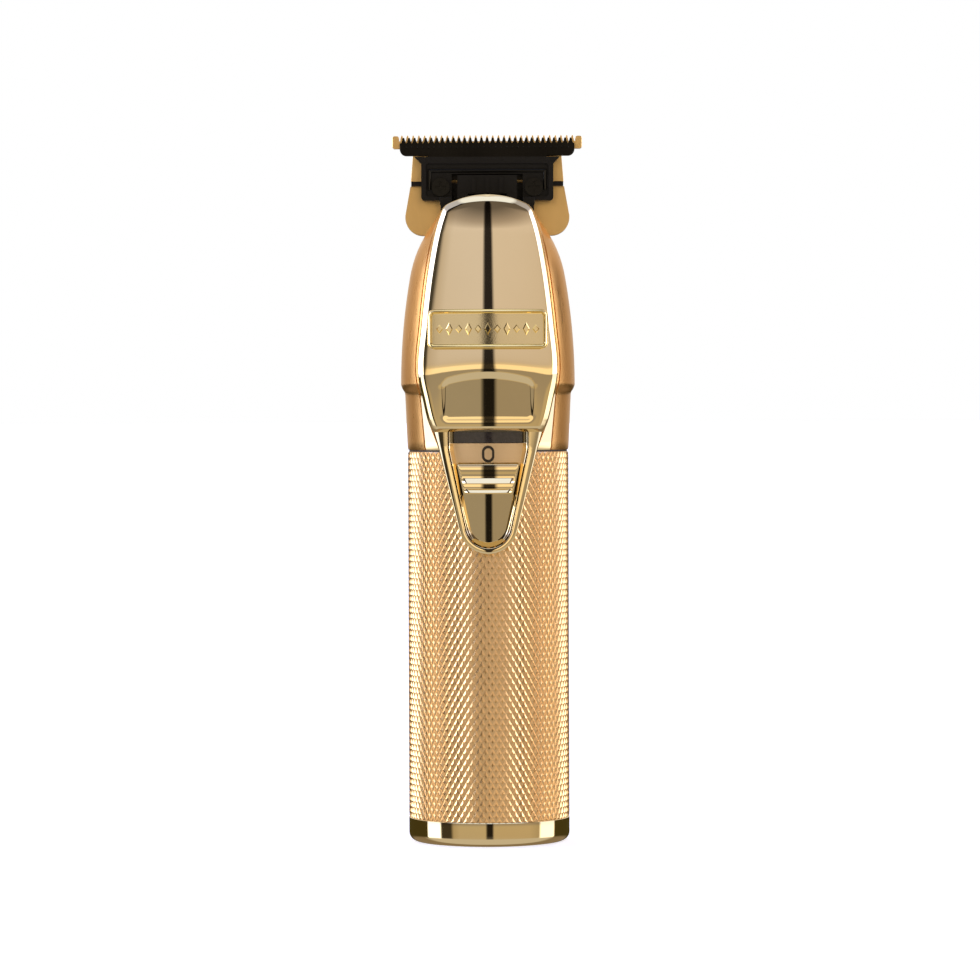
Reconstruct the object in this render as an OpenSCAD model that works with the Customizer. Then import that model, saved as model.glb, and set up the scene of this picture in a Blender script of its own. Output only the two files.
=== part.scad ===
// Cordless T-blade hair clipper, standing on its base.
// The front is -Y, the blade is at +Z, and the origin is the centre of the base.
// "h" is a height above the joint between the barrel and the upper housing.

/* [Barrel] */
// Outer diameter of the barrel and of the end ring
body_d = 34; // [33:0.5:42]
// Wall of the barrel and of the upper housing
body_wall = 1.6; // [1.2:0.1:2]
// Height of the polished end ring
ring_h = 5.1; // [4:0.1:8]
// Length of the knurled barrel
barrel_h = 77.5; // [76:0.5:110]

/* [Upper housing] */
// Height of the housing above the joint
housing_h = 52; // [50:0.1:63]
// How far the shoulder stands out past the barrel
shoulder_out = 1.4; // [0.8:0.1:2]
// Height of the shoulder's lower edge above the joint
step_h = 12.4; // [10:0.2:15]

/* [Front cover] */
// Half width of the cover where its face creases
crease_w = 14.6; // [13.4:0.1:15.4]
// Height of the crease above the joint
crease_h = 16.3; // [15:0.1:19]
// How far the face stands out past the barrel at the crease
crease_out = 2.7; // [2:0.1:3.4]
// Half width of the cover's top corners
cover_top_w = 9.4; // [9:0.1:10]
// How far the tongue stands out of the barrel
tongue_out = 1.2; // [0.8:0.1:1.8]
// How far the tongue reaches below the joint
tongue_drop = 21.4; // [19:0.2:26]
// Radius of the tongue's round end
tongue_end_r = 6.2; // [5.8:0.1:7]
// Width of the name plate
plate_w = 25.2; // [20:0.2:26]
// Height of the name plate
plate_h = 8.2; // [6:0.2:9]

/* [Switch] */
// How far the switch slides up
switch_travel = 3.8; // [2.5:0.1:4]
// Width of the rim around the switch channel, at the tongue's end
rim_w = 1.25; // [1:0.05:1.6]
// Depth of the channel's floor under the tongue's rim
channel_depth = 1.6; // [1.2:0.1:1.8]

/* [Blade] */
// Width of the fixed T-blade
blade_w = 40.2; // [36:0.1:46]
// Width of the moving blade's row of teeth
cutter_w = 37; // [34:0.1:43]
// Distance from one tooth to the next
tooth_pitch = 1.18; // [1:0.02:1.6]
// Thickness of each blade
blade_t = 1.6; // [1.2:0.1:2]
// Half of the moving blade's stroke, which is the drive pin's offset
stroke = 0.9; // [0.5:0.05:1]

/* [Drive] */
// Diameter of the motor
motor_d = 20.4; // [18:0.2:21]
// Length of the motor can
motor_h = 26; // [22:0.5:26]
// Diameter of the battery cell
cell_d = 18.5; // [14:0.5:18.5]
// Length of the battery cell
cell_h = 65; // [50:1:65]

/* [Hidden] */
$fn = 96;
eps = 0.01;

// Clearances
fit_gap = 0.12;         // between shells that are pushed together
slide_gap = 0.05;       // between flat faces that slide
run_gap = 0.04;         // around a turning shaft
free_gap = 0.3;         // between pieces that must not touch

// Heights along the body
joint_z = ring_h + barrel_h;
seal_t = 0.4;
head_z = joint_z + housing_h;

// Barrel
body_r = body_d / 2;
bore_r = body_r - body_wall;
rim_r = body_r + tongue_out;

// Base
base_plate_z = 0.8;
base_plate_t = 2;
plate_r = bore_r - 0.8 - fit_gap;
socket_r = 5.4;
end_screw_at = 9.4;

// Housing outline: a straight skirt, a long side arc, a nose arc, then a straight taper.
// The side arc's radius is what brings the taper to the same top radius at any height.
shoulder_r = body_r + shoulder_out;
step_rise = 1.5;
shoulder_h = step_h + step_rise;
housing_top_r = 8.76;
nose_arc_r = 25;
nose_angle = 10.08;
taper_angle = 35;
taper_drop = nose_arc_r * (1 - cos(taper_angle));
taper_rise = (housing_h - shoulder_h - nose_arc_r * sin(taper_angle)) * tan(taper_angle);
side_share = tan(taper_angle) * sin(nose_angle) - 1 + cos(nose_angle);
side_arc_r = nose_arc_r + (housing_top_r - shoulder_r + taper_drop + taper_rise) / side_share;
nose_h = shoulder_h + side_arc_r * sin(nose_angle);
arc_cross = 0.04;       // the two arcs cross a little, so that their join is a clean edge
nose_x = shoulder_r - side_arc_r + (side_arc_r - nose_arc_r) * cos(nose_angle) + arc_cross;
nose_y = shoulder_h + (side_arc_r - nose_arc_r) * sin(nose_angle);
taper_x = nose_x + nose_arc_r * cos(taper_angle);
taper_y = nose_y + nose_arc_r * sin(taper_angle);
bore_top_gap = 1.6;

// Front cover: a tongue on the barrel, a thumb rest and a tapered face
cover_wall = 1.6;
cover_back = -4;
arch_r = 18.4;
arch_half = 24;
cover_top_h = housing_h + 1.4;
face_low_r = 29;
face_top_r = 18;
crease_y = body_r + crease_out;
cover_top_y = housing_top_r + 3.7;
lip_h = 4;
lip_y = crease_y - 0.7;
face_spare = 4;
face_taper = (face_low_r - face_top_r) / (cover_top_h - crease_h);
face_tilt = atan((crease_y - cover_top_y - face_low_r + face_top_r) / (crease_h - cover_top_h));
thumb_tilt = atan((crease_y - lip_y) / (crease_h - lip_h));
tongue_end_h = tongue_end_r - tongue_drop;
tongue_slope = 14;
window_slope = 12.4;
window_w = 8.4;
channel_gap = 0.15;
channel_wall = 1.1;
floor_r = rim_r - channel_depth;
floor_t = 1.4;
channel_in_r = floor_r - floor_t;

// Name plate
plate_mid_h = 25.4;
plate_t = 0.7;

// Switch, measured from the joint
slider_top_h = -2.4;
slider_low_h = -8.9;
slider_top_w = 6.4;
slider_low_w = 5;
slider_gap = 0.25;
stem_w = 3;
stem_low_h = -7.8;
stem_h = 1.2;
carrier_r = channel_in_r - free_gap;
carrier_t = 1.4;
carrier_low_h = -11;
carrier_h = 10;
light_strip_h = 2.2;

// Battery and circuit board
cell_r = cell_d / 2;
cell_y = 2;
cell_z = ring_h + 9;
board_t = 1;
board_w = 15;
board_y = cell_y - cell_r - 2;
board_low_z = ring_h + 11;
board_top_z = joint_z + 1;
switch_t = 3;
switch_face_y = board_y - switch_t;
knob_back_y = switch_face_y - slide_gap;
knob_w = 2.6;
knob_low_h = -7.5;
knob_h = 2.4;

// Drive
drive_y = -2.5;
motor_r = motor_d / 2;
motor_wall = 0.9;
cap_h = 1.6;            // the end cap's part under the can
motor_z = joint_z + 5.4;
motor_top_z = motor_z + motor_h;
shaft_r = 1;
cam_z = motor_top_z + 6;
cam_h = 5;
pin_r = 1;
roller_r = 2;
roller_h = 2.4;
roller_z = cam_z + cam_h + 0.6;
pin_top_z = roller_z + roller_h + 0.6;
mount_z = motor_top_z;
mount_t = 3;

// Blade: heights from the top of the housing, and depths along Y
blade_front_y = 2;
cutter_y = blade_front_y - slide_gap - blade_t;
yoke_y = cutter_y - slide_gap;
yoke_front_y = -2.5;
yoke_low_h = 0.8;
yoke_top_h = 10;
yoke_top_half = 15.3;
yoke_front_wall = 0.8;
yoke_half = 13.95;
blade_low_h = 5;
blade_bar_h = 12;
blade_tip_h = 14.8;
gap_h = 1;
bracket_back_y = blade_front_y + blade_t + 1.6;
bracket_low_h = -6.4;
screw_x = 9.85;
screw_h = 3.6;
fork_half = 6.3;
prong_in = roller_r + 2 * stroke + free_gap;
prong_low_z = roller_z - 0.3;
fork_top_h = 6.1;
fork_way = fork_half + stroke + free_gap;
prong_front_y = cover_back + free_gap;
prong_back_y = drive_y + 1.9;
boot_wall = 0.8;
boot_depth = 3;
boot_w = 2 * (fork_way + boot_wall);
bracket_screw_x = 5;
bracket_screw_h = housing_h - 3.6;
screw_seat_y = housing_top_r + 0.3;
slot_low_h = housing_h + bracket_low_h - fit_gap;

// Finishes
gold = [0.83, 0.62, 0.33];
polish = [0.86, 0.72, 0.45];
black = [0.06, 0.06, 0.06];
steel = [0.72, 0.72, 0.74];

// ---------- shared shapes ----------

// A solid turned round the body's axis, from z0 up.
module tube(r_out, r_in, z0, tall) {
    translate([0, 0, z0])
    difference() {
        cylinder(r = r_out, h = tall);
        translate([0, 0, -1]) cylinder(r = r_in, h = tall + 2);
    }
}

// A solid cylinder whose axis is the drive's axis.
module drive_rod(r, z0, tall, x = 0) {
    translate([x, drive_y, z0]) cylinder(r = r, h = tall);
}

// A box that is centred on X.
module mid_box(wide, y0, y1, z0, z1) {
    translate([-wide / 2, y0, z0]) cube([wide, y1 - y0, z1 - z0]);
}

// An outline in X and height, pushed along Y from y0 to y1.
module slab(y0, y1) {
    translate([0, y1, 0]) rotate([90, 0, 0]) linear_extrude(height = y1 - y0) children();
}

// A rectangle with round corners, centred.
module round_rect(wide, tall, r) {
    square([wide - 2 * r, tall], center = true);
    square([wide, tall - 2 * r], center = true);
    for (x = [-1, 1], y = [-1, 1])
        translate([x * (wide / 2 - r), y * (tall / 2 - r)]) circle(r = r);
}

function mirrored(side) = concat(side, [for (i = [len(side) - 1 : -1 : 0]) [-side[i][0], side[i][1]]]);

// ---------- outlines ----------

// The turned outline of the housing, drawn in radius and height and shrunk by inset.
module housing_outline(inset) {
    polygon([
        [0, 0], [body_r - inset, 0], [body_r + 0.5 - inset, step_h - 1.7],
        [body_r + 0.7 - inset, step_h], [shoulder_r - inset, shoulder_h], [0, shoulder_h]
    ]);
    intersection() {
        translate([0, shoulder_h - eps]) square([shoulder_r - inset, housing_h - shoulder_h + eps]);
        translate([shoulder_r - side_arc_r, shoulder_h]) circle(r = side_arc_r - inset, $fn = 400);
        union() {
            square([shoulder_r, nose_h]);
            translate([nose_x, nose_y]) circle(r = nose_arc_r - inset);
            polygon([
                [0, taper_y], [taper_x - inset / cos(taper_angle), taper_y],
                [housing_top_r - inset / cos(taper_angle), housing_h], [0, housing_h]
            ]);
        }
    }
}

// The front outline of the cover, shrunk by inset. The tongue's end is a true arc.
module cover_outline(inset = 0) {
    end_r = tongue_end_r - inset;
    arch = [for (a = [arch_half : -4 : 1]) [
        (arch_r - inset) * sin(a),
        cover_top_h - arch_r + (arch_r - inset) * cos(a)
    ]];
    side = concat([
        [end_r * cos(tongue_slope), tongue_end_h - end_r * sin(tongue_slope)],
        [10.3 - inset, 0.6],
        [12.5 - inset, 6.4],
        [crease_w - inset, crease_h],
        [13.9 - inset, 26],
        [12.3 - inset, housing_h - 13],
        [10.65 - inset, housing_h - 4.9],
        [cover_top_w - inset, housing_h - 1.3 - inset / 2]
    ], arch);
    polygon(mirrored(side));
    translate([0, tongue_end_h]) circle(r = end_r);
}

// The window for the switch channel, shrunk by inset.
module window_outline(inset = 0) {
    end_r = tongue_end_r - rim_w - inset;
    polygon(mirrored([
        [end_r * cos(window_slope), tongue_end_h - end_r * sin(window_slope)],
        [window_w - inset, 0.5],
        [window_w - inset, lip_h - inset]
    ]));
    translate([0, tongue_end_h]) circle(r = end_r);
}

// ---------- front face ----------

// A block whose front is the thumb rest and the tapered face, shrunk by inset.
module face_block(inset) {
    intersection() {
        translate([0, face_low_r - crease_y, crease_h]) rotate([face_tilt, 0, 0])
            translate([0, 0, -face_spare])
            cylinder(
                r1 = face_low_r + face_spare * face_taper - inset,
                r2 = face_top_r - face_spare * face_taper - inset,
                h = cover_top_h - crease_h + 2 * face_spare
            );
        mid_box(60, -40, 40, crease_h, cover_top_h + 1);
    }
    intersection() {
        translate([0, face_low_r - crease_y, crease_h]) rotate([thumb_tilt, 0, 0])
            translate([0, 0, -20]) cylinder(r = face_low_r - inset, h = 22);
        mid_box(60, -40, 40, lip_h + inset / 4, crease_h + eps);
    }
}

// Everything inside the shells' inner walls.
module inner_space(clear = 0) {
    rotate_extrude() intersection() {
        housing_outline(body_wall + clear);
        square([body_d, housing_h - bore_top_gap]);
    }
    translate([0, 0, -tongue_drop - 4]) cylinder(r = bore_r - clear, h = tongue_drop + 4 + eps);
}

module cover_space(clear = 0) {
    intersection() {
        slab(-40, cover_back) cover_outline(cover_wall + clear);
        face_block(cover_wall + clear);
    }
}

// ---------- barrel and base ----------

module barrel_sleeve() {
    color(gold)
    difference() {
        tube(body_r, bore_r, ring_h, barrel_h - seal_t / 2);
        translate([0, 0, joint_z]) slab(-40, cover_back) cover_outline(-fit_gap);
    }
}

module end_ring() {
    round_r = 0.85;
    lip_r = bore_r - 0.8;
    ledge_r = lip_r - 1.6;
    plate_z = 2.8;
    spigot_h = 3.5;
    color(polish)
    rotate_extrude() {
        difference() {
            union() {
                translate([0, round_r]) square([body_r, ring_h - round_r]);
                square([body_r - round_r, ring_h]);
                translate([body_r - round_r, round_r]) circle(r = round_r);
                square([bore_r - fit_gap, ring_h + spigot_h]);
            }
            translate([-1, -1]) square([lip_r + 1, plate_z + 1]);
            translate([-1, -1]) square([ledge_r + 1, ring_h + spigot_h + 2]);
        }
    }
}

module around_base() {
    for (a = [90, 210, 330]) rotate([0, 0, a]) translate([end_screw_at, 0, 0]) children();
}

module end_plate() {
    color(black)
    difference() {
        translate([0, 0, base_plate_z]) cylinder(r = plate_r, h = base_plate_t);
        cylinder(r = socket_r + fit_gap, h = 8);
        around_base() cylinder(r = 1.1, h = 8);
        around_base() cylinder(r = 2, h = base_plate_z + 0.9);
    }
}

module end_screws() {
    color(steel)
    around_base() {
        difference() {
            translate([0, 0, base_plate_z + 0.1]) cylinder(r = 1.8, h = 0.8);
            translate([0, 0, base_plate_z]) cube([2.2, 0.5, 1], center = true);
            translate([0, 0, base_plate_z]) cube([0.5, 2.2, 1], center = true);
        }
        translate([0, 0, base_plate_z + 0.9]) cylinder(r = 0.8, h = 5);
    }
}

module charge_socket() {
    color(black)
    difference() {
        translate([0, 0, base_plate_z]) cylinder(r = socket_r, h = 10);
        translate([0, 0, -1]) cylinder(r = 1.8, h = base_plate_z + 10);
    }
}

// ---------- battery and circuit ----------

module battery_cell() {
    color([0.2, 0.35, 0.55])
    translate([0, cell_y, cell_z]) {
        cylinder(r = cell_r, h = cell_h - 1);
        cylinder(r = 3.5, h = cell_h);
    }
}

module battery_tabs() {
    color(steel) {
        translate([0, cell_y, cell_z - 0.4]) cylinder(r = 4, h = 0.4);
        translate([0, cell_y, cell_z + cell_h]) cylinder(r = 4, h = 0.4);
    }
}

// A cradle behind the cell, with a foot that takes the end plate's screws.
module battery_holder() {
    foot_z = base_plate_z + base_plate_t;
    foot_r = bore_r - 3.2;
    cradle_z = cell_z - 2;
    cradle_h = cell_h + 3;
    ear_in = board_w / 2 - 1;
    arm_in = cell_r + 0.4;
    arm_out = arm_in + 2;
    rib_h = 3;
    color(black)
    difference() {
        union() {
            translate([0, 0, foot_z]) cylinder(r = foot_r, h = cradle_z - foot_z);
            intersection() {
                union() {
                    translate([0, cell_y, cradle_z]) cylinder(r = cell_r + 1.6, h = cradle_h);
                    for (z = [cradle_z, cradle_z + cradle_h / 2, cradle_z + cradle_h - rib_h])
                        translate([0, 0, z]) cylinder(r = bore_r - free_gap, h = rib_h);
                }
                mid_box(body_d, cell_y - 4, body_r, cradle_z - 1, cradle_z + cradle_h + 1);
            }
            for (side = [0, 1], z = [board_low_z + 5, board_low_z + 45])
                translate([0, board_y + board_t, z]) mirror([side, 0, 0]) {
                    translate([ear_in, 0, 0]) cube([arm_out - ear_in, 1.6, rib_h]);
                    translate([arm_in, 0, 0]) cube([arm_out - arm_in, cell_r - 1.5, rib_h]);
                }
        }
        translate([0, cell_y, cell_z - 0.4]) cylinder(r = cell_r + fit_gap, h = cell_h + 6);
        translate([0, 0, foot_z - 1]) cylinder(r = socket_r + fit_gap, h = base_plate_z + 10 - foot_z + 1.2);
        around_base() cylinder(r = 0.8, h = base_plate_z + 5.9);
    }
}

module battery_leads() {
    lead_r = 0.5;
    lead_y = board_y + board_t + lead_r + 0.05;
    color([0.7, 0.1, 0.1])
    for (x = [-5, -3.6])
        translate([x, lead_y, board_low_z + 0.4]) cylinder(r = lead_r, h = cell_h - 8);
}

module circuit_board() {
    color([0.1, 0.35, 0.2])
    mid_box(board_w, board_y, board_y + board_t, board_low_z, board_top_z);
}

module indicator_lights() {
    color("white")
    for (x = [-4, 0, 4])
        translate([x, 0, 0]) mid_box(1.6, board_y - 0.8, board_y, board_top_z - 1.1, board_top_z - 0.3);
}

module switch_body() {
    color(steel)
    mid_box(8, switch_face_y, board_y, joint_z - 13, joint_z - 0.6);
}

// ---------- switch ----------

module switch_knob() {
    color(black)
    translate([0, 0, joint_z])
    mid_box(knob_w, -carrier_r + carrier_t, knob_back_y, knob_low_h, knob_low_h + knob_h);
}

module switch_carrier() {
    color(black)
    translate([0, 0, joint_z])
    difference() {
        intersection() {
            mid_box(9, -body_r, -carrier_r + carrier_t, carrier_low_h, carrier_low_h + carrier_h);
            cylinder(r = carrier_r, h = 60, center = true);
        }
        mid_box(stem_w, -body_r, -carrier_r + 0.6, stem_low_h, stem_low_h + stem_h);
    }
}

// The slider's side: a ramp, then two grip ridges.
module slider_side() {
    ridge_y = -floor_r - 2.6;
    ridge_d = 0.7;
    foot_y = ridge_y + ridge_d;
    round_d = 0.15;
    ridge_1 = slider_top_h - 3;
    ridge_2 = slider_top_h - 5.1;
    ridge_h = 1.5;
    polygon([
        [0, slider_top_h],
        [-floor_r - 0.75, slider_top_h],
        [foot_y, ridge_1],
        [ridge_y + round_d, ridge_1 - 0.2],
        [ridge_y, ridge_1 - 0.5],
        [ridge_y, ridge_1 - ridge_h + 0.5],
        [ridge_y + round_d, ridge_1 - ridge_h + 0.2],
        [foot_y, ridge_1 - ridge_h],
        [foot_y, ridge_2],
        [ridge_y + round_d, ridge_2 - 0.2],
        [ridge_y, ridge_2 - 0.5],
        [ridge_y, ridge_2 - ridge_h + 0.7],
        [ridge_y + round_d, slider_low_h],
        [0, slider_low_h]
    ]);
}

module switch_slider() {
    color(polish)
    translate([0, 0, joint_z]) {
        difference() {
            intersection() {
                slab(-30, 0) polygon(mirrored([[slider_low_w, slider_low_h], [slider_top_w, slider_top_h]]));
                rotate([90, 0, 90]) linear_extrude(height = 30, center = true) slider_side();
            }
            cylinder(r = floor_r + slider_gap, h = 60, center = true);
        }
        mid_box(stem_w, -floor_r - 1, -carrier_r + 0.6, stem_low_h, stem_low_h + stem_h);
    }
}

module switch_channel() {
    strip_low_h = lip_h - channel_gap - light_strip_h;
    color(polish)
    translate([0, 0, joint_z])
    difference() {
        intersection() {
            slab(-30, -6) window_outline(channel_gap);
            tube(rim_r - 0.3, channel_in_r, -tongue_drop, tongue_drop + lip_h);
        }
        difference() {
            slab(-30, -6) window_outline(channel_gap + channel_wall);
            cylinder(r = floor_r, h = 80, center = true);
        }
        mid_box(window_w * 2 - 2.4, -30, -6, strip_low_h, lip_h + 1);
        mid_box(
            stem_w + 2 * fit_gap, -30, -6,
            stem_low_h - fit_gap, stem_low_h + stem_h + switch_travel + fit_gap
        );
    }
}

module indicator_window() {
    low_h = lip_h - channel_gap - light_strip_h + 0.05;
    color([0.16, 0.14, 0.13])
    translate([0, 0, joint_z])
    intersection() {
        mid_box(window_w * 2 - 2.5, -30, -6, low_h, lip_h - 0.05);
        tube(floor_r + 0.15, channel_in_r + 0.2, low_h - 1, light_strip_h + 2);
    }
}

module zero_mark() {
    mark_h = -0.6;
    color(black)
    translate([0, 0, joint_z + mark_h])
    intersection() {
        slab(-30, -6) difference() {
            scale_ring(1.3, 1.75);
            scale_ring(0.8, 1.2);
        }
        tube(floor_r + 0.1, floor_r, -4, 8);
    }
}

// A ring's outline with straight sides and round ends.
module scale_ring(half_w, half_t) {
    for (y = [-1, 1]) translate([0, y * (half_t - half_w)]) circle(r = half_w);
    square([2 * half_w, 2 * (half_t - half_w)], center = true);
}

// ---------- shells ----------

module front_cover() {
    color(polish)
    translate([0, 0, joint_z])
    difference() {
        intersection() {
            slab(-40, cover_back) cover_outline();
            union() {
                face_block(0);
                translate([0, 0, -tongue_drop - 1]) cylinder(r = rim_r, h = tongue_drop + 1 + lip_h);
            }
        }
        inner_space();
        cover_space();
        slab(-40, -6) window_outline();
        thumb_dish();
    }
}

// A shallow pocket for the thumb.
module thumb_dish() {
    dish_depth = 0.5;
    low_h = lip_h + 1.1;
    top_h = crease_h - 0.6;
    difference() {
        translate([0, 0, (low_h + top_h) / 2]) slab(-40, -10) round_rect(19.2, top_h - low_h, 2.5);
        face_block(dish_depth);
    }
}

module name_plate() {
    border = 0.9;
    color(polish)
    translate([0, 0, joint_z]) {
        difference() {
            intersection() {
                translate([0, 0, plate_mid_h]) slab(-40, -8) round_rect(plate_w, plate_h, 1.2);
                face_block(-plate_t);
            }
            face_block(0);
        }
        difference() {
            intersection() {
                translate([0, 0, plate_mid_h]) slab(-40, -8) difference() {
                    round_rect(plate_w, plate_h, 1.2);
                    round_rect(plate_w - 2 * border, plate_h - 2 * border, 0.7);
                }
                face_block(-plate_t - 0.3);
            }
            face_block(-plate_t + eps);
        }
    }
}

module rear_housing() {
    low_h = seal_t / 2;
    color(gold)
    translate([0, 0, joint_z])
    difference() {
        rotate_extrude() intersection() {
            housing_outline(0);
            translate([0, low_h]) square([body_d, housing_h]);
        }
        inner_space();
        slab(-40, cover_back + fit_gap) cover_outline(-fit_gap);
        mid_box(80, blade_front_y - fit_gap, bracket_back_y + fit_gap, slot_low_h, housing_h + 5);
        mid_box(boot_w + 2 * fit_gap, cover_back - 1, blade_front_y, housing_h - 8, housing_h + 5);
        at_bracket_screws() {
            rotate([90, 0, 0]) cylinder(r = 1.1, h = 40, center = true);
            translate([0, screw_seat_y, 0]) rotate([-90, 0, 0]) cylinder(r = 2, h = 20);
        }
    }
}

module at_bracket_screws() {
    for (x = [-bracket_screw_x, bracket_screw_x]) translate([x, 0, bracket_screw_h]) children();
}

module joint_seal() {
    color(black)
    difference() {
        tube(body_r - 0.3, bore_r, joint_z - seal_t / 2, seal_t);
        translate([0, 0, joint_z]) slab(-40, cover_back) cover_outline(-fit_gap);
    }
}

// The black collar between the housing's top and the yoke. The drive fork moves inside it.
module neck_boot() {
    collar_w = 20;
    collar_h = 1.4;
    front_y = cover_back + fit_gap;
    back_y = blade_front_y - fit_gap;
    yoke_low_z = head_z + yoke_low_h;
    color(black)
    difference() {
        union() {
            mid_box(collar_w, front_y, back_y, head_z, head_z + collar_h);
            mid_box(boot_w, front_y, back_y, head_z, head_z + blade_low_h - free_gap);
            mid_box(boot_w, front_y, back_y, head_z - boot_depth, head_z + eps);
        }
        mid_box(2 * fork_way, front_y - 1, yoke_y + free_gap, head_z - boot_depth - 1, head_z + 8);
        mid_box(collar_w, front_y - 1, yoke_y + free_gap, head_z + collar_h, head_z + 8);
        mid_box(2 * yoke_half + 1, yoke_front_y - fit_gap, yoke_y + fit_gap, yoke_low_z - eps, head_z + 8);
    }
}

// ---------- motor ----------

module motor_can() {
    color(steel)
    difference() {
        drive_rod(motor_r, motor_z, motor_h);
        drive_rod(motor_r - motor_wall, motor_z - 1, motor_h);
        drive_rod(3.2, motor_z, motor_h + 1);
        for (x = [-6.5, 6.5]) drive_rod(0.8, motor_z, motor_h + 1, x);
    }
}

module motor_magnets() {
    color([0.25, 0.25, 0.27])
    difference() {
        drive_rod(motor_r - motor_wall, motor_z + 4, 17);
        drive_rod(7.6, motor_z + 3, 19);
        translate([0, drive_y, motor_z + 12]) cube([4, 40, 30], center = true);
    }
}

module motor_end_cap() {
    color(black)
    difference() {
        union() {
            drive_rod(motor_r - motor_wall - slide_gap, motor_z, 1.5);
            drive_rod(motor_r, motor_z - cap_h, cap_h);
        }
        drive_rod(3.2, motor_z - 3, 8);
    }
}

module motor_bushes() {
    color("darkgoldenrod")
    for (z = [motor_z - 1.6, motor_top_z - 1.6])
        difference() {
            drive_rod(3.2, z, 2.6);
            drive_rod(shaft_r + run_gap, z - 1, 6);
        }
}

module motor_shaft() {
    color(steel)
    drive_rod(shaft_r, motor_z - 2.2, cam_z + cam_h - 1.2 - motor_z + 2.2);
}

// Three wound poles and the commutator on the shaft.
module motor_armature() {
    color([0.6, 0.3, 0.15])
    difference() {
        union() {
            drive_rod(3, motor_z + 5, 15);
            for (a = [0, 120, 240]) translate([0, drive_y, motor_z + 6]) rotate([0, 0, a])
                intersection() {
                    translate([0, -2.6, 0]) cube([8, 5.2, 13]);
                    cylinder(r = 7.2, h = 13);
                }
            drive_rod(2.2, motor_z + 1.6, 4);
        }
        drive_rod(shaft_r, motor_z - 1, 30);
    }
}

// A plastic ring that holds the motor's lower half in the housing.
module motor_cradle() {
    color(black)
    difference() {
        intersection() {
            translate([0, 0, motor_z + 1]) cylinder(r = bore_r - free_gap, h = 6);
            mid_box(body_d, -12.6, body_r, motor_z, motor_z + 9);
        }
        drive_rod(motor_r + 0.02, motor_z - 1, 20);
    }
}

module motor_mount() {
    color(black)
    difference() {
        intersection() {
            translate([0, 0, mount_z]) cylinder(r = bore_r - 1.4, h = mount_t);
            mid_box(body_d, -11.4, body_r, mount_z - 1, mount_z + 9);
        }
        drive_rod(3.4, mount_z - 1, 8);
        for (x = [-6.5, 6.5]) drive_rod(1, mount_z - 1, 8, x);
    }
}

module motor_screws() {
    color(steel)
    for (x = [-6.5, 6.5]) {
        drive_rod(0.8, mount_z - motor_wall, mount_t + motor_wall + eps, x);
        drive_rod(1.7, mount_z + mount_t, 1.1, x);
    }
}

module motor_leads() {
    lead_r = 0.5;
    color([0.1, 0.1, 0.1])
    for (x = [-5.6, 5.6])
        translate([x, board_y + board_t / 2, board_top_z])
            cylinder(r = lead_r, h = motor_z - cap_h - board_top_z);
}

// ---------- drive ----------

// The cam's disc on the shaft, and the pin that stands off centre on it.
module eccentric_cam() {
    color("goldenrod")
    difference() {
        union() {
            drive_rod(4.2, cam_z, cam_h);
            drive_rod(pin_r, cam_z + cam_h - eps, pin_top_z - cam_z - cam_h + eps, stroke);
            drive_rod(pin_r + 0.5, cam_z + cam_h - eps, 0.5 + eps, stroke);
        }
        drive_rod(shaft_r, cam_z - 1, cam_h - 0.2);
    }
}

module cam_bearing() {
    color(steel)
    difference() {
        drive_rod(roller_r, roller_z, roller_h, stroke);
        drive_rod(pin_r, roller_z - 1, roller_h + 2, stroke);
    }
}

// A block on the moving blade with two prongs that reach down over the cam's bearing.
module drive_fork() {
    rib_w = 0.8;
    fork_front_y = yoke_front_y - 0.7;
    fork_low_z = head_z + 2.2;
    fork_top_z = head_z + fork_top_h;
    color(black) {
        mid_box(2 * fork_half, fork_front_y, cutter_y, fork_low_z, fork_top_z);
        for (side = [-1, 1])
            translate([side * (prong_in + fork_half) / 2, 0, 0])
            mid_box(fork_half - prong_in, prong_front_y, prong_back_y, prong_low_z, fork_low_z + eps);
        for (x = [-2.9, 0, 2.9])
            translate([x, 0, 0])
            mid_box(rib_w, fork_front_y - 0.5, fork_front_y + eps, fork_low_z + 0.2, fork_top_z - 0.3);
    }
}

// ---------- blades ----------

// A row of teeth, drawn in X and height, from their roots up: narrow slots, then points.
module teeth(wide, pitch, root_h, tip_h, slot_w, point_w, slot_h) {
    count = floor(wide / pitch);
    start = -count * pitch / 2;
    foot_h = 0.8;
    translate([0, root_h])
    polygon(concat(
        [[-wide / 2, -foot_h], [-wide / 2, 0]],
        [for (i = [0 : count - 1]) each [
            [start + i * pitch + slot_w / 2, 0],
            [start + i * pitch + slot_w / 2 + 0.02, slot_h],
            [start + (i + 0.5) * pitch - point_w / 2, tip_h - root_h],
            [start + (i + 0.5) * pitch + point_w / 2, tip_h - root_h],
            [start + (i + 1) * pitch - slot_w / 2 - 0.02, slot_h],
            [start + (i + 1) * pitch - slot_w / 2, 0]
        ]],
        [[wide / 2, 0], [wide / 2, -foot_h]]
    ));
}

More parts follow.
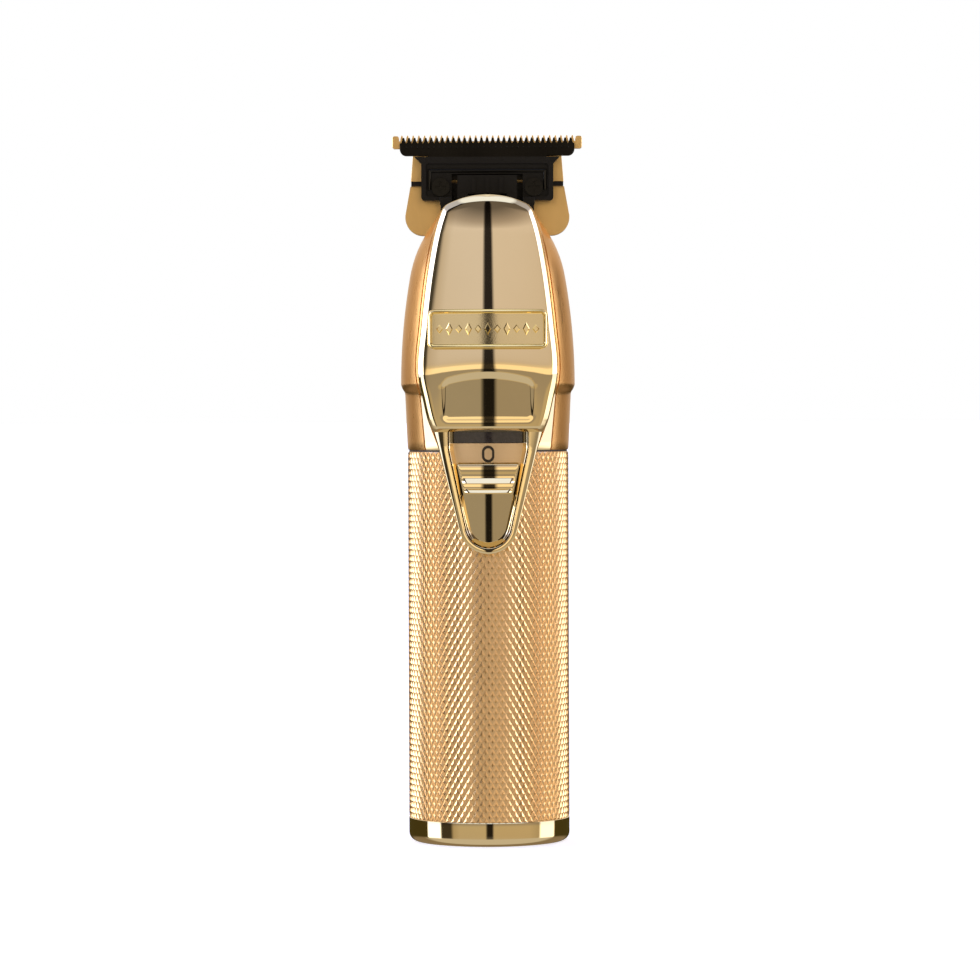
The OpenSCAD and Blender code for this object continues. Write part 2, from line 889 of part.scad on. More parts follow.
// Its teeth are a little wider apart than the moving blade's, so that the two never meet all at once.
module fixed_blade() {
    tab_w = 1.4;
    tab_r = 0.5;
    tab_h = blade_tip_h - 0.1 - blade_bar_h;
    comb_pitch = tooth_pitch + 0.025;
    root_h = blade_tip_h - 1.2;
    leg_low = 16.2;
    leg_top = 15.6;
    color(gold)
    translate([0, 0, head_z])
    difference() {
        union() {
            slab(blade_front_y, blade_front_y + blade_t)
                polygon(mirrored([[leg_low, blade_low_h], [leg_top, blade_bar_h + 0.5]]));
            mid_box(blade_w - tab_w, blade_front_y, blade_front_y + blade_t, blade_bar_h, root_h);
            slab(blade_front_y, blade_front_y + blade_t)
                teeth(blade_w - 2 * tab_w, comb_pitch, root_h - eps, blade_tip_h, 0.42, 0.3, 0.1);
            for (side = [-1, 1])
                slab(blade_front_y, blade_front_y + blade_t)
                translate([side * (blade_w - tab_w) / 2, blade_bar_h + tab_h / 2])
                round_rect(tab_w, tab_h, tab_r);
        }
        for (side = [-1, 1]) translate([side * screw_x, 0, blade_low_h + 2.6])
            rotate([90, 0, 0]) cylinder(r = 1.3, h = 20, center = true);
    }
}

module moving_blade() {
    corner_r = 1.4;
    leg_half = 12.6;
    tip_h = blade_tip_h - 0.5;
    root_h = tip_h - 1.2;
    bar_low_h = 10.4;
    color(black)
    translate([0, 0, head_z]) {
        mid_box(2 * leg_half, cutter_y, cutter_y + blade_t, blade_low_h + 0.3, bar_low_h + 0.5);
        intersection() {
            slab(cutter_y, cutter_y + blade_t)
                translate([0, bar_low_h + 2 * corner_r]) round_rect(cutter_w, 4 * corner_r, corner_r);
            mid_box(cutter_w, -10, 10, bar_low_h, root_h);
        }
        slab(cutter_y, cutter_y + blade_t)
            teeth(cutter_w, tooth_pitch, root_h - eps, tip_h, 0.26, 0.28, 0.1);
    }
}

module blade_yoke() {
    rib_low_h = blade_low_h - gap_h + 0.04;
    rib_t = gap_h - 0.08;
    color(black)
    translate([0, 0, head_z])
    difference() {
        union() {
            slab(yoke_front_y, yoke_y) {
                translate([0, (yoke_low_h + yoke_top_h - 1.5) / 2])
                    round_rect(2 * yoke_half, yoke_top_h - 1.5 - yoke_low_h, 0.8);
                polygon(mirrored([
                    [yoke_half, yoke_top_h - 3], [yoke_half, yoke_top_h - 1.4], [yoke_top_half, yoke_top_h]
                ]));
            }
            for (side = [-1, 1])
                translate([side * 14.5, 0, 0])
                mid_box(3.2, yoke_y - eps, blade_front_y + 1.3, rib_low_h, rib_low_h + rib_t);
        }
        mid_box(2 * fork_way, -10, yoke_y + eps, yoke_low_h - 1, fork_top_h + free_gap);
        slab(-10, yoke_front_y + yoke_front_wall)
            translate([0, yoke_low_h + 4.3]) round_rect(2 * yoke_half - 2, 7, 0.6);
        at_blade_screws() cylinder(r = 1.1, h = 20, center = true);
    }
}

module at_blade_screws() {
    for (x = [-screw_x, screw_x]) translate([x, 0, screw_h]) rotate([90, 0, 0]) children();
}

module blade_screws() {
    color(black)
    translate([0, 0, head_z])
    at_blade_screws() {
        difference() {
            translate([0, 0, -yoke_front_y - yoke_front_wall]) cylinder(r = 1.9, h = 1.1);
            translate([0, 0, -yoke_front_y + 0.3]) cube([2.4, 0.5, 1], center = true);
            translate([0, 0, -yoke_front_y + 0.3]) cube([0.5, 2.4, 1], center = true);
        }
        translate([0, 0, -bracket_back_y + 0.4])
            cylinder(r = 0.9, h = bracket_back_y - yoke_front_y - 1.2 + eps);
    }
}

// A wire spring that lies in the yoke over the fork and is hooked at both ends.
module blade_spring() {
    wire_r = 0.35;
    bar_h = fork_top_h + 1.0;
    hook_x = 12.2;
    bar_y = yoke_front_y + yoke_front_wall - wire_r;
    color(black)
    translate([0, bar_y, head_z + bar_h]) {
        rotate([0, 90, 0]) cylinder(r = wire_r, h = 2 * hook_x, center = true);
        for (side = [-1, 1]) {
            translate([side * hook_x, 0, 0]) sphere(r = wire_r);
            translate([side * hook_x, 0, -4]) cylinder(r = wire_r, h = 4);
        }
    }
}

module blade_bracket() {
    wing_top = 16.3;
    wing_low = 17.4;
    corner_r = 3.8;
    round_h = bracket_low_h + corner_r;
    top_h = blade_low_h - gap_h;
    color(gold)
    translate([0, 0, head_z])
    difference() {
        union() {
            slab(blade_front_y, bracket_back_y) {
                polygon(mirrored([[wing_low, round_h], [wing_low, -2.2], [wing_top, top_h]]));
                translate([0, round_h]) round_rect(2 * wing_low, 2 * corner_r, corner_r - eps);
            }
            slab(blade_front_y + blade_t, bracket_back_y)
                polygon(mirrored([[15.2, top_h - 1], [15, blade_bar_h + 1]]));
        }
        at_blade_screws() cylinder(r = 0.9, h = 20, center = true);
        translate([0, 0, -housing_h]) at_bracket_screws()
            rotate([90, 0, 0]) cylinder(r = 0.9, h = 20, center = true);
    }
}

module bracket_screws() {
    color(gold)
    translate([0, 0, joint_z])
    at_bracket_screws() rotate([-90, 0, 0]) {
        difference() {
            translate([0, 0, screw_seat_y]) cylinder(r = 1.8, h = 0.9);
            translate([0, 0, screw_seat_y + 0.9]) cube([2.3, 0.5, 1], center = true);
            translate([0, 0, screw_seat_y + 0.9]) cube([0.5, 2.3, 1], center = true);
        }
        translate([0, 0, blade_front_y + 0.3])
            cylinder(r = 0.9, h = screw_seat_y - blade_front_y - 0.3 + eps);
    }
}

barrel_sleeve();
end_ring();
end_plate();
end_screws();
charge_socket();
battery_cell();
battery_tabs();
battery_holder();
battery_leads();
circuit_board();
indicator_lights();
switch_body();
switch_knob();
switch_carrier();
switch_slider();
switch_channel();
indicator_window();
zero_mark();
front_cover();
name_plate();
rear_housing();
joint_seal();
neck_boot();
motor_can();
motor_magnets();
motor_end_cap();
motor_bushes();
motor_shaft();
motor_armature();
motor_cradle();
motor_mount();
motor_screws();
motor_leads();
eccentric_cam();
cam_bearing();
drive_fork();
moving_blade();
fixed_blade();
blade_yoke();
blade_screws();
blade_spring();
blade_bracket();
bracket_screws();
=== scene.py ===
import math

import bmesh
import bpy
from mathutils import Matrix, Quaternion, Vector


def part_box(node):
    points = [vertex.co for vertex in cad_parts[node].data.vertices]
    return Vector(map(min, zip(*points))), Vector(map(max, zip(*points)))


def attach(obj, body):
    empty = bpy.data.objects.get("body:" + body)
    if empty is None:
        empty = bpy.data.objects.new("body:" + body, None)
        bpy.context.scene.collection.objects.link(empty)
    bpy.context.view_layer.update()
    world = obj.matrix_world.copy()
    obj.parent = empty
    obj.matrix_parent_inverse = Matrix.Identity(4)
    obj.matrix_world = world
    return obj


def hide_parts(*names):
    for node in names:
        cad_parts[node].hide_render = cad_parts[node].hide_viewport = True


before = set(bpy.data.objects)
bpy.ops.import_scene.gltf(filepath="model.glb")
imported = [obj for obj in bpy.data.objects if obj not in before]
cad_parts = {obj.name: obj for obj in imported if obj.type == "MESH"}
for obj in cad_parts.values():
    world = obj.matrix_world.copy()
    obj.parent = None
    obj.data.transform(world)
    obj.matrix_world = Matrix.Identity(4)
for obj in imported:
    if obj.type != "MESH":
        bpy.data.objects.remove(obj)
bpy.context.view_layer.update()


# ---- End ring --------------------------------------------------------------------------
# The ring that the clipper stands on: brass, turned, its foot and its upper edge broken by
# a small radius, then plated and polished. It is pressed into the lower end of the barrel.

def span(node):
    """A CAD node's lowest and highest corners, in millimetres."""
    low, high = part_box(node)
    return low * 1000, high * 1000


def metal(name, colour, gloss, drift=0.04, grain=900, lay=(1, 1, 1), relief=0.0, spread=0.03):
    """Plated metal: its colour drifts a little, its gloss follows the grain, and its lay is how it was ground."""
    material = bpy.data.materials.new(name)
    material.use_nodes = True
    nodes, links = material.node_tree.nodes, material.node_tree.links
    shader = nodes["Principled BSDF"]
    shader.inputs["Metallic"].default_value = 1.0
    place = nodes.new("ShaderNodeTexCoord")
    along = nodes.new("ShaderNodeMapping")
    along.inputs["Scale"].default_value = lay
    links.new(place.outputs["Object"], along.inputs["Vector"])
    fine = nodes.new("ShaderNodeTexNoise")
    fine.inputs["Scale"].default_value = grain
    fine.inputs["Detail"].default_value = 4.0
    links.new(along.outputs["Vector"], fine.inputs["Vector"])
    broad = nodes.new("ShaderNodeTexNoise")
    broad.inputs["Scale"].default_value = 70.0
    broad.inputs["Detail"].default_value = 2.0
    links.new(place.outputs["Object"], broad.inputs["Vector"])
    tint = nodes.new("ShaderNodeValToRGB")
    tint.color_ramp.elements[0].position = 0.3
    tint.color_ramp.elements[1].position = 0.7
    tint.color_ramp.elements[0].color = (*(c * (1 - drift) for c in colour), 1)
    tint.color_ramp.elements[1].color = (*(min(1, c * (1 + drift)) for c in colour), 1)
    links.new(broad.outputs["Fac"], tint.inputs["Fac"])
    links.new(tint.outputs["Color"], shader.inputs["Base Color"])
    polish = nodes.new("ShaderNodeMapRange")
    polish.inputs["From Min"].default_value = 0.3
    polish.inputs["From Max"].default_value = 0.7
    polish.inputs["To Min"].default_value = max(0.01, gloss - spread)
    polish.inputs["To Max"].default_value = gloss + spread
    links.new(fine.outputs["Fac"], polish.inputs["Value"])
    links.new(polish.outputs["Result"], shader.inputs["Roughness"])
    if relief:
        bump = nodes.new("ShaderNodeBump")
        bump.inputs["Strength"].default_value = relief
        bump.inputs["Distance"].default_value = 0.0001
        links.new(fine.outputs["Fac"], bump.inputs["Height"])
        links.new(bump.outputs["Normal"], shader.inputs["Normal"])
    return material


def soften(bm, width, segments=3, angle=32, only=None):
    """Rounds the edges where two faces meet at more than the angle."""
    sharp = [
        e for e in bm.edges
        if len(e.link_faces) == 2 and e.calc_face_angle(0) > math.radians(angle) and (only is None or only(e))
    ]
    bmesh.ops.bevel(
        bm, geom=sharp, offset=width, offset_type="OFFSET", segments=segments, profile=0.5,
        affect="EDGES", clamp_overlap=True, material=-1,
    )


def turned(outline, steps=160):
    """A closed outline of radii and heights, spun round the barrel's axis."""
    bm = bmesh.new()
    points = [bm.verts.new((r, 0, z)) for r, z in outline]
    edges = [bm.edges.new((points[i - 1], points[i])) for i in range(len(points))]
    bmesh.ops.spin(
        bm, geom=points + edges, cent=(0, 0, 0), axis=(0, 0, 1), angle=2 * math.pi,
        steps=steps, use_merge=True, use_duplicate=False,
    )
    bmesh.ops.remove_doubles(bm, verts=bm.verts, dist=1e-4)
    bmesh.ops.recalc_face_normals(bm, faces=bm.faces)
    return bm


def piece(name, bm, materials, slot, body, *nodes, smooth=40, even=False):
    """Turns the mesh from millimetres into a piece that rides on a body and stands for CAD nodes."""
    bmesh.ops.scale(bm, vec=(0.001, 0.001, 0.001), verts=bm.verts)
    mesh = bpy.data.meshes.new(name)
    bm.to_mesh(mesh)
    bm.free()
    mesh.shade_smooth()
    mesh.set_sharp_from_angle(angle=math.radians(smooth))
    for material in materials:
        mesh.materials.append(material)
    made = bpy.data.objects.new(name, mesh)
    bpy.context.scene.collection.objects.link(made)
    if even:
        made.modifiers.new("even_normals", "WEIGHTED_NORMAL").keep_sharp = True
    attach(made, body)
    if nodes:
        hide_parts(*nodes)
    return made


polished = metal("polished_gold", (0.90, 0.755, 0.47), 0.045, drift=0.015, grain=260, spread=0.012)

ring_top = span("end_ring")[1]
ring_r = ring_top.x
ring_h = span("barrel_sleeve")[0].z
FOOT_R = 1.8
foot_round = [
    (ring_r - FOOT_R + FOOT_R * math.sin(math.radians(a)), FOOT_R - FOOT_R * math.cos(math.radians(a)))
    for a in range(0, 91, 15)
]
ring = turned(foot_round + [
    (ring_r, ring_h - 0.12), (ring_r - 0.12, ring_h), (ring_r - 1.75, ring_h), (ring_r - 1.75, ring_top.z),
    (ring_r - 4, ring_top.z), (ring_r - 4, 2.8), (ring_r - 2.4, 2.8), (ring_r - 2.4, 0.1), (ring_r - 2.3, 0),
])
piece("end_ring_polished", ring, [polished], "polished_gold", "body", "end_ring")


# ---- Knurled barrel --------------------------------------------------------------------
# The grip: an aluminium tube, rolled between two knurling wheels that raise crossed rows of
# diamonds, then anodised gold. Its front is cut out for the cover's tongue.

def smooth(t):
    t = max(0.0, min(1.0, t))
    return t * t * (3 - 2 * t)


def eased(table, at):
    """A smooth curve through a table of places and values, read at one place."""
    places = [p for p, _ in table]
    values = [v for _, v in table]
    if at <= places[0]:
        return values[0]
    if at >= places[-1]:
        return values[-1]
    i = max(k for k in range(len(places) - 1) if places[k] <= at)
    step = [(values[k + 1] - values[k]) / (places[k + 1] - places[k]) for k in range(len(places) - 1)]
    low = (step[i - 1] + step[i]) / 2 if i else step[i]
    high = (step[i] + step[i + 1]) / 2 if i < len(step) - 1 else step[i]
    wide = places[i + 1] - places[i]
    t = (at - places[i]) / wide
    return (
        values[i] * (1 + 2 * t) * (1 - t) ** 2 + low * wide * t * (1 - t) ** 2
        + values[i + 1] * t * t * (3 - 2 * t) + high * wide * t * t * (t - 1)
    )


barrel_low, barrel_top = span("barrel_sleeve")
joint = span("rear_housing")[0].z - 0.2
TONGUE_SIDE = [(-16.7, 6.02), (0.6, 10.3), (6.4, 12.5)]
TONGUE_END_H = -15.2
TONGUE_END_R = 6.2


def tongue_half(h):
    """Half the width of the cover's tongue at a height over the joint."""
    if h < TONGUE_SIDE[0][0]:
        return math.sqrt(max(0, TONGUE_END_R ** 2 - (h - TONGUE_END_H) ** 2))
    for (low, a), (high, b) in zip(TONGUE_SIDE, TONGUE_SIDE[1:]):
        if h <= high:
            return a + (b - a) * (h - low) / (high - low)
    return TONGUE_SIDE[-1][1]


anodised = metal("barrel_gold", (0.80, 0.545, 0.285), 0.24, drift=0.03, grain=2400, relief=0.06)

DIAMONDS_ROUND = 76
DIAMOND_ROWS = 32
GROOVE = 0.2
knurl_r = barrel_top.x - GROOVE

barrel = bmesh.new()
rise = (barrel_top.z - barrel_low.z) / DIAMOND_ROWS
column = [barrel.verts.new((knurl_r, 0, barrel_low.z + k * rise)) for k in range(DIAMOND_ROWS + 1)]
chain = [barrel.edges.new(pair) for pair in zip(column, column[1:])]
bmesh.ops.spin(
    barrel, geom=column + chain, cent=(0, 0, 0), axis=(0, 0, 1), angle=2 * math.pi,
    steps=DIAMONDS_ROUND, use_merge=True, use_duplicate=False,
)
bmesh.ops.recalc_face_normals(barrel, faces=barrel.faces)
square_edges = [e for e in barrel.edges if not e.is_boundary]
bmesh.ops.poke(barrel, faces=barrel.faces[:])
bmesh.ops.dissolve_edges(barrel, edges=square_edges, use_verts=False)
for v in barrel.verts:
    v.co.xy = v.co.xy.normalized() * knurl_r
under_tongue = [
    f for f in barrel.faces
    if all(v.co.y < 0 and abs(v.co.x) < tongue_half(v.co.z - joint) - 0.25 for v in f.verts)
]
bmesh.ops.delete(barrel, geom=under_tongue, context="FACES")
bmesh.ops.solidify(barrel, geom=barrel.faces[:], thickness=1.3)
bmesh.ops.recalc_face_normals(barrel, faces=barrel.faces)
diamonds = [f for f in barrel.faces if all(abs(v.co.xy.length - knurl_r) < 0.02 for v in f.verts)]
bmesh.ops.inset_individual(barrel, faces=diamonds, thickness=0.40, depth=GROOVE, use_even_offset=True)
piece("knurled_barrel", barrel, [anodised], "barrel_gold", "body", "barrel_sleeve", smooth=20)


# ---- Upper housing ---------------------------------------------------------------------
# The bullet-shaped shell over the motor: turned aluminium, satin, with a step all round.
# Its two flanks beside the tongue are polished, up to a fine groove.

shell_top = span("rear_housing")[1]
SHELL_WALL = 1.6
SHOULDER_H = 13.9
FORK_ROOM_R = 8.35
SLOT_FRONT_Y = 1.88
SLOT_ROOM = 0.12
shoulder_r = shell_top.x
SKIRT = [(0, 17.0), (6, 17.28), (11, 17.5), (12.3, 17.62), (13.1, 18.1), (SHOULDER_H, shoulder_r)]
COVER_SIDE = [
    (4, 11.59), (6.4, 12.5), (11, 13.6), (16.3, 14.6), (26, 13.9), (39, 12.3), (47.1, 10.65), (50.7, 9.4),
]


def shell_radius(h):
    """The housing's outer radius at a height over the joint."""
    if h < SHOULDER_H:
        return eased(SKIRT, h)
    if h < 37:
        return shoulder_r - 132 + math.sqrt(132 ** 2 - (h - SHOULDER_H) ** 2)
    nose_x, nose_y = nose
    taper_h = nose_y + 25 * math.sin(math.radians(35))
    if h < taper_h:
        return nose_x + math.sqrt(25 ** 2 - (h - nose_y) ** 2)
    return nose_x + 25 * math.cos(math.radians(35)) - (h - taper_h) * math.tan(math.radians(35))


nose_turn = math.asin((37 - SHOULDER_H) / 132)
nose = (shoulder_r - 107 * (1 - math.cos(nose_turn)) - 25, SHOULDER_H + 107 * math.sin(nose_turn))


def cover_half(h):
    """Half the width of the front cover at a height over the joint."""
    return tongue_half(h) if h < 4 else eased(COVER_SIDE, h)


def give_wall(bm, thickness):
    """Backs an open skin by a second one at a thickness behind it, and closes the rims between them."""
    bm.normal_update()
    skin = bm.verts[:] + bm.edges[:] + bm.faces[:]
    sides = [e.link_loops[0] for e in bm.edges if e.is_boundary]
    rims = [(side.vert, side.link_loop_next.vert) for side in sides]
    front = [(v, v.co - v.normal * thickness) for v in bm.verts]
    back = bmesh.ops.duplicate(bm, geom=skin)
    twin = {v: back["vert_map"][v] for v, _ in front}
    for v, place in front:
        twin[v].co = place
    bmesh.ops.reverse_faces(bm, faces=[g for g in back["geom"] if isinstance(g, bmesh.types.BMFace)])
    for a, b in rims:
        bm.faces.new((b, a, twin[a], twin[b]))
    return list(twin.values())


satin = metal("housing_gold", (0.80, 0.475, 0.19), 0.30, drift=0.03, grain=1500, lay=(1, 1, 0.12), relief=0.05)

shell_rows = [0.2, 0.7, 2, 4, 6, 8, 9.5, 10.7, 11.6]
shell_rows += [12.1, 12.4, 12.7, 13.0, 13.3, 13.6, 13.9, 14.2, 15, 16.5, 18]
shell_rows += [20 + 1.5 * k for k in range(21)] + [50.6, 51.2, 51.6, 52]
SHELL_STEPS = 72
shell = bmesh.new()
bmesh.ops.create_grid(shell, x_segments=SHELL_STEPS + 4, y_segments=len(shell_rows) - 1, size=0.5)
for v in shell.verts:
    h = shell_rows[round((v.co.y + 0.5) * (len(shell_rows) - 1))]
    k = round((v.co.x + 0.5) * (SHELL_STEPS + 4))
    r = shell_radius(h)
    half = cover_half(h) + 0.1
    edge = min(math.asin(min(1, half / r)), math.acos(min(1, 3.9 / r)))
    seam = math.asin(min(1, (13.0 + 0.0926 * h) / r)) if h < 13.3 else edge + 0.45 / r
    seam = max(seam, edge + 0.45 / r)
    turn = [edge, seam, seam + 0.10 / r, seam + 0.34 / r, seam + 0.44 / r][k] if k < 5 else (
        seam + 0.44 / r + (math.pi - seam - 0.44 / r) * (k - 4) / SHELL_STEPS
    )
    if k in (2, 3):
        r -= 0.4
    if h < 0.3:
        r -= 0.12
    v.co = Vector((r * math.sin(turn), -r * math.cos(turn), joint + h))
bmesh.ops.recalc_face_normals(shell, faces=shell.faces)
if shell.faces[0].normal.dot(shell.faces[0].calc_center_median()) < 0:
    bmesh.ops.reverse_faces(shell, faces=shell.faces)
for f in shell.faces:
    middle = f.calc_center_median()
    r = middle.xy.length
    h = middle.z - joint
    seam_x = 13.0 + 0.0926 * h
    f.material_index = 1 if middle.y < 0 and h < 13.6 and middle.x < seam_x else 0
bmesh.ops.mirror(shell, geom=shell.verts[:] + shell.edges[:] + shell.faces[:], axis="X", merge_dist=1e-3)
bmesh.ops.remove_doubles(shell, verts=shell.verts, dist=1e-3)
bmesh.ops.recalc_face_normals(shell, faces=shell.faces)
bracket_low, bracket_top = span("blade_bracket")
slot_back_y = bracket_top.y + SLOT_ROOM
slot_low_z = bracket_low.z - SLOT_ROOM
for place, way in (
    ((0, SLOT_FRONT_Y, 0), (0, 1, 0)), ((0, slot_back_y, 0), (0, 1, 0)), ((0, 0, slot_low_z), (0, 0, 1)),
):
    everything = shell.verts[:] + shell.edges[:] + shell.faces[:]
    bmesh.ops.bisect_plane(shell, geom=everything, plane_co=place, plane_no=way)
slot_faces = [
    f for f in shell.faces
    if SLOT_FRONT_Y < f.calc_center_median().y < slot_back_y and f.calc_center_median().z > slot_low_z
]
bmesh.ops.delete(shell, geom=slot_faces, context="FACES")
for v in give_wall(shell, SHELL_WALL - 0.45):
    if v.co.xy.length < FORK_ROOM_R:
        v.co.xy = v.co.xy.normalized() * FORK_ROOM_R
piece("upper_housing", shell, [satin, polished], "housing_gold", "body", "rear_housing", smooth=34)


# ---- Front cover -----------------------------------------------------------------------
# One zinc casting, polished and gold plated: the tapered face with its thumb rest and the
# chamfer round it, and the narrow rim of the tongue that frames the switch.

LIP_H = 4.0
CREASE_H = 17.6
CREASE_Y = 19.7
LIP_Y = 18.8
ARCH_R = 18.4
ARCH_TOP_H = 53.4
FACE_LOW_R = 32.0
FACE_TOP_R = 19.5
RIM_R = 18.2


def arch_h(x):
    return ARCH_TOP_H - ARCH_R + math.sqrt(max(0, ARCH_R ** 2 - x * x))


def face_depth(x, h):
    """How far the cover's face stands in front of the axis."""
    over = h - CREASE_H + 0.008 * x * x
    low = CREASE_Y + (CREASE_Y - LIP_Y) * over / (CREASE_H - LIP_H)
    high = CREASE_Y - 0.1951 * over
    depth = 0.5 * (low + high - math.sqrt((low - high) ** 2 + 0.04))
    depth -= 0.037 * max(0, h - 45.7) ** 1.5
    r = FACE_LOW_R - (FACE_LOW_R - FACE_TOP_R) * max(0, h - CREASE_H) / (ARCH_TOP_H - CREASE_H)
    return depth - r + math.sqrt(r * r - min(x * x, 0.9 * r * r))


def step_out(bm, rim, out, back):
    """Grows the open rim by one ring of faces: outwards in the front plane, and backwards."""
    grown = bmesh.ops.extrude_edge_only(bm, edges=rim)["geom"]
    fresh = {g for g in grown if isinstance(g, bmesh.types.BMVert)}
    ring = [e for e in {g for v in fresh for g in v.link_edges} if all(v in fresh for v in e.verts)]
    middle = sum((v.co for v in fresh), Vector()) / len(fresh)
    moves = {}
    for v in fresh:
        sides = []
        for e in v.link_edges:
            if e in ring or all(w in fresh for w in e.verts):
                run = e.other_vert(v).co - v.co
                n = Vector((run.z, 0, -run.x)).normalized()
                sides.append(n if n.dot(v.co - middle) > 0 else -n)
        push = (sides[0] + sides[1]) / (1 + sides[0].dot(sides[1]))
        moves[v] = push
    for v, push in moves.items():
        v.co.x += push.x * out
        v.co.z += push.z * out * (0.62 if push.z < -0.3 else 1.3 if push.z > 0.8 else 1)
        v.co.y += back
    return ring


FACE_COLUMNS = 80
FACE_ROWS = 116
EDGE_IN = 1.52
SIDE_TOP_H = 50.4
DISH_LOW_H = 5.9
DISH_COLUMNS = 36
DISH_HALF = 9.75
DISH_CORNER_R = 1.6
DISH_EDGE_W = 1.1
DISH_DEPTH = 0.15
DISH_LEAN = 0.045
DISH_ROWS = (3, 32)


def face_place(u, row):
    """Where a knot of the face's net lies: its columns and rows follow the edges of the thumb rest."""
    low_h = LIP_H + 0.9
    x = u * 10
    for _ in range(3):
        dish_top_h = 16.3 - 0.0177 * min(x * x, 100)
        if row <= DISH_ROWS[0]:
            h = low_h + (DISH_LOW_H - low_h) * row / DISH_ROWS[0]
        elif row <= DISH_ROWS[1]:
            h = DISH_LOW_H + (dish_top_h - DISH_LOW_H) * (row - DISH_ROWS[0]) / (DISH_ROWS[1] - DISH_ROWS[0])
        else:
            t = (row - DISH_ROWS[1]) / (FACE_ROWS - DISH_ROWS[1])
            lift = arch_h(x) - 1.68 - SIDE_TOP_H
            h = dish_top_h + (SIDE_TOP_H - dish_top_h) * t + lift * smooth((t - 0.3) / 0.7)
        half = cover_half(h) - EDGE_IN
        inner = DISH_HALF + (0.88 * half - DISH_HALF) * smooth((h - 15.5) / 8)
        k = abs(u) * FACE_COLUMNS / 2
        outer_columns = FACE_COLUMNS / 2 - DISH_COLUMNS
        if k <= DISH_COLUMNS:
            x = inner * k / DISH_COLUMNS
        else:
            x = inner + (half - inner) * (k - DISH_COLUMNS) / outer_columns
        x = math.copysign(x, u)
    return x, h


def thumb_rest(x, h):
    """How deep the thumb rest is: it dips over a soft edge, rounds its corners and leans back to its top."""
    beside = DISH_HALF - abs(x)
    over = min(h - DISH_LOW_H, 16.3 - 0.0177 * x * x - h)
    inside = min(beside, over)
    if 0 < inside and max(beside, over) < DISH_CORNER_R:
        inside = DISH_CORNER_R - math.hypot(DISH_CORNER_R - beside, DISH_CORNER_R - over)
    return (DISH_DEPTH + DISH_LEAN * (h - DISH_LOW_H)) * smooth(inside / DISH_EDGE_W)


cover = bmesh.new()
bmesh.ops.create_grid(cover, x_segments=FACE_COLUMNS, y_segments=FACE_ROWS, size=0.5)
for v in cover.verts:
    x, h = face_place(v.co.x * 2, round((v.co.y + 0.5) * FACE_ROWS))
    v.co = Vector((x, thumb_rest(x, h) - face_depth(x, h), joint + h))
bmesh.ops.recalc_face_normals(cover, faces=cover.faces)
if cover.faces[0].normal.y > 0:
    bmesh.ops.reverse_faces(cover, faces=cover.faces)
rim = [e for e in cover.edges if e.is_boundary]
CHAMFER = ((0.30, 0.18), (0.18, 0.14), (0.06, 0.06), (0.85, 0.86), (0.06, 0.12), (0.05, 0.3), (0.02, 0.5))
for out, back in CHAMFER:
    rim = step_out(cover, rim, out, back)
grown = bmesh.ops.extrude_edge_only(cover, edges=rim)["geom"]
for v in {g for g in grown if isinstance(g, bmesh.types.BMVert)}:
    h = v.co.z - joint
    inner = eased([(4, 15.5), (20, 16.6), (37, 14.4), (45, 11.6), (51, 7.0)], h)
    v.co.y = -max(4.2, math.sqrt(max(0, inner ** 2 - v.co.x ** 2)))
bmesh.ops.recalc_face_normals(cover, faces=cover.faces)
if cover.faces[0].normal.y > 0:
    bmesh.ops.reverse_faces(cover, faces=cover.faces)
for v in give_wall(cover, 1.1):
    v.co.z = min(joint + 52.4, max(joint + 4.6, v.co.z))
    v.co.y = max(0.9 - face_depth(v.co.x, v.co.z - joint), v.co.y)

WINDOW_END_R = 4.95


def frame_edge(s, outer):
    """A point on half of the tongue's outer edge or of its window: from the lip down, then round the end."""
    top, knee, low_x, end_r, slope = (
        (11.59, 10.3, 6.02, TONGUE_END_R, 14) if outer else (8.4, 8.4, 4.83, WINDOW_END_R, 12.4)
    )
    low_h = TONGUE_END_H - end_r * math.sin(math.radians(slope))
    if s < 0.15:
        return top + (knee - top) * s / 0.15, LIP_H + 0.6 + (0.5 - LIP_H - 0.6) * s / 0.15
    if s < 0.6:
        return knee + (low_x - knee) * (s - 0.15) / 0.45, 0.5 + (low_h - 0.5) * (s - 0.15) / 0.45
    turn = math.radians(slope + (90 - slope) * (s - 0.6) / 0.4)
    return end_r * math.cos(turn), TONGUE_END_H - end_r * math.sin(turn)


def tray_rim(bm, profile, near, far, steps=96):
    """A rim bent round the switch. Its profile gives shares of the way from outer to inner edge, and radii."""
    made = bmesh.ops.create_grid(bm, x_segments=steps, y_segments=len(profile) - 1, size=0.5)["verts"]
    for v in made:
        share, r = profile[round((v.co.y + 0.5) * (len(profile) - 1))]
        s = v.co.x + 0.5
        side = -1 if s < 0.5 else 1
        place = 1 - abs(1 - 2 * s)
        ax, ah = near(place)
        bx, bh = far(place)
        x, h = ax + (bx - ax) * share, ah + (bh - ah) * share
        v.co = Vector((side * x, -math.sqrt(r * r - x * x), joint + h))
    bmesh.ops.remove_doubles(bm, verts=made, dist=1e-3)


tray_rim(
    cover,
    [(0, 15.6), (0, 17.9), (0.02, 18.05), (0.07, 18.15), (0.16, RIM_R), (0.5, RIM_R + 0.02), (0.84, RIM_R),
     (0.94, 18.13), (0.98, 18.04), (1, 17.85), (1, 15.6), (0, 15.6)],
    lambda s: frame_edge(s, True), lambda s: frame_edge(s, False),
)
bmesh.ops.holes_fill(cover, edges=[e for e in cover.edges if e.is_boundary], sides=12)
bmesh.ops.recalc_face_normals(cover, faces=cover.faces)
piece("polished_cover", cover, [polished], "polished_gold", "body", "front_cover", smooth=50)


# ---- Name plate ------------------------------------------------------------------------
# A stamped brass plate, gold plated: a rolled border round a toned field with a row of
# raised lozenges. It is glued to the cover's face and curves with it.

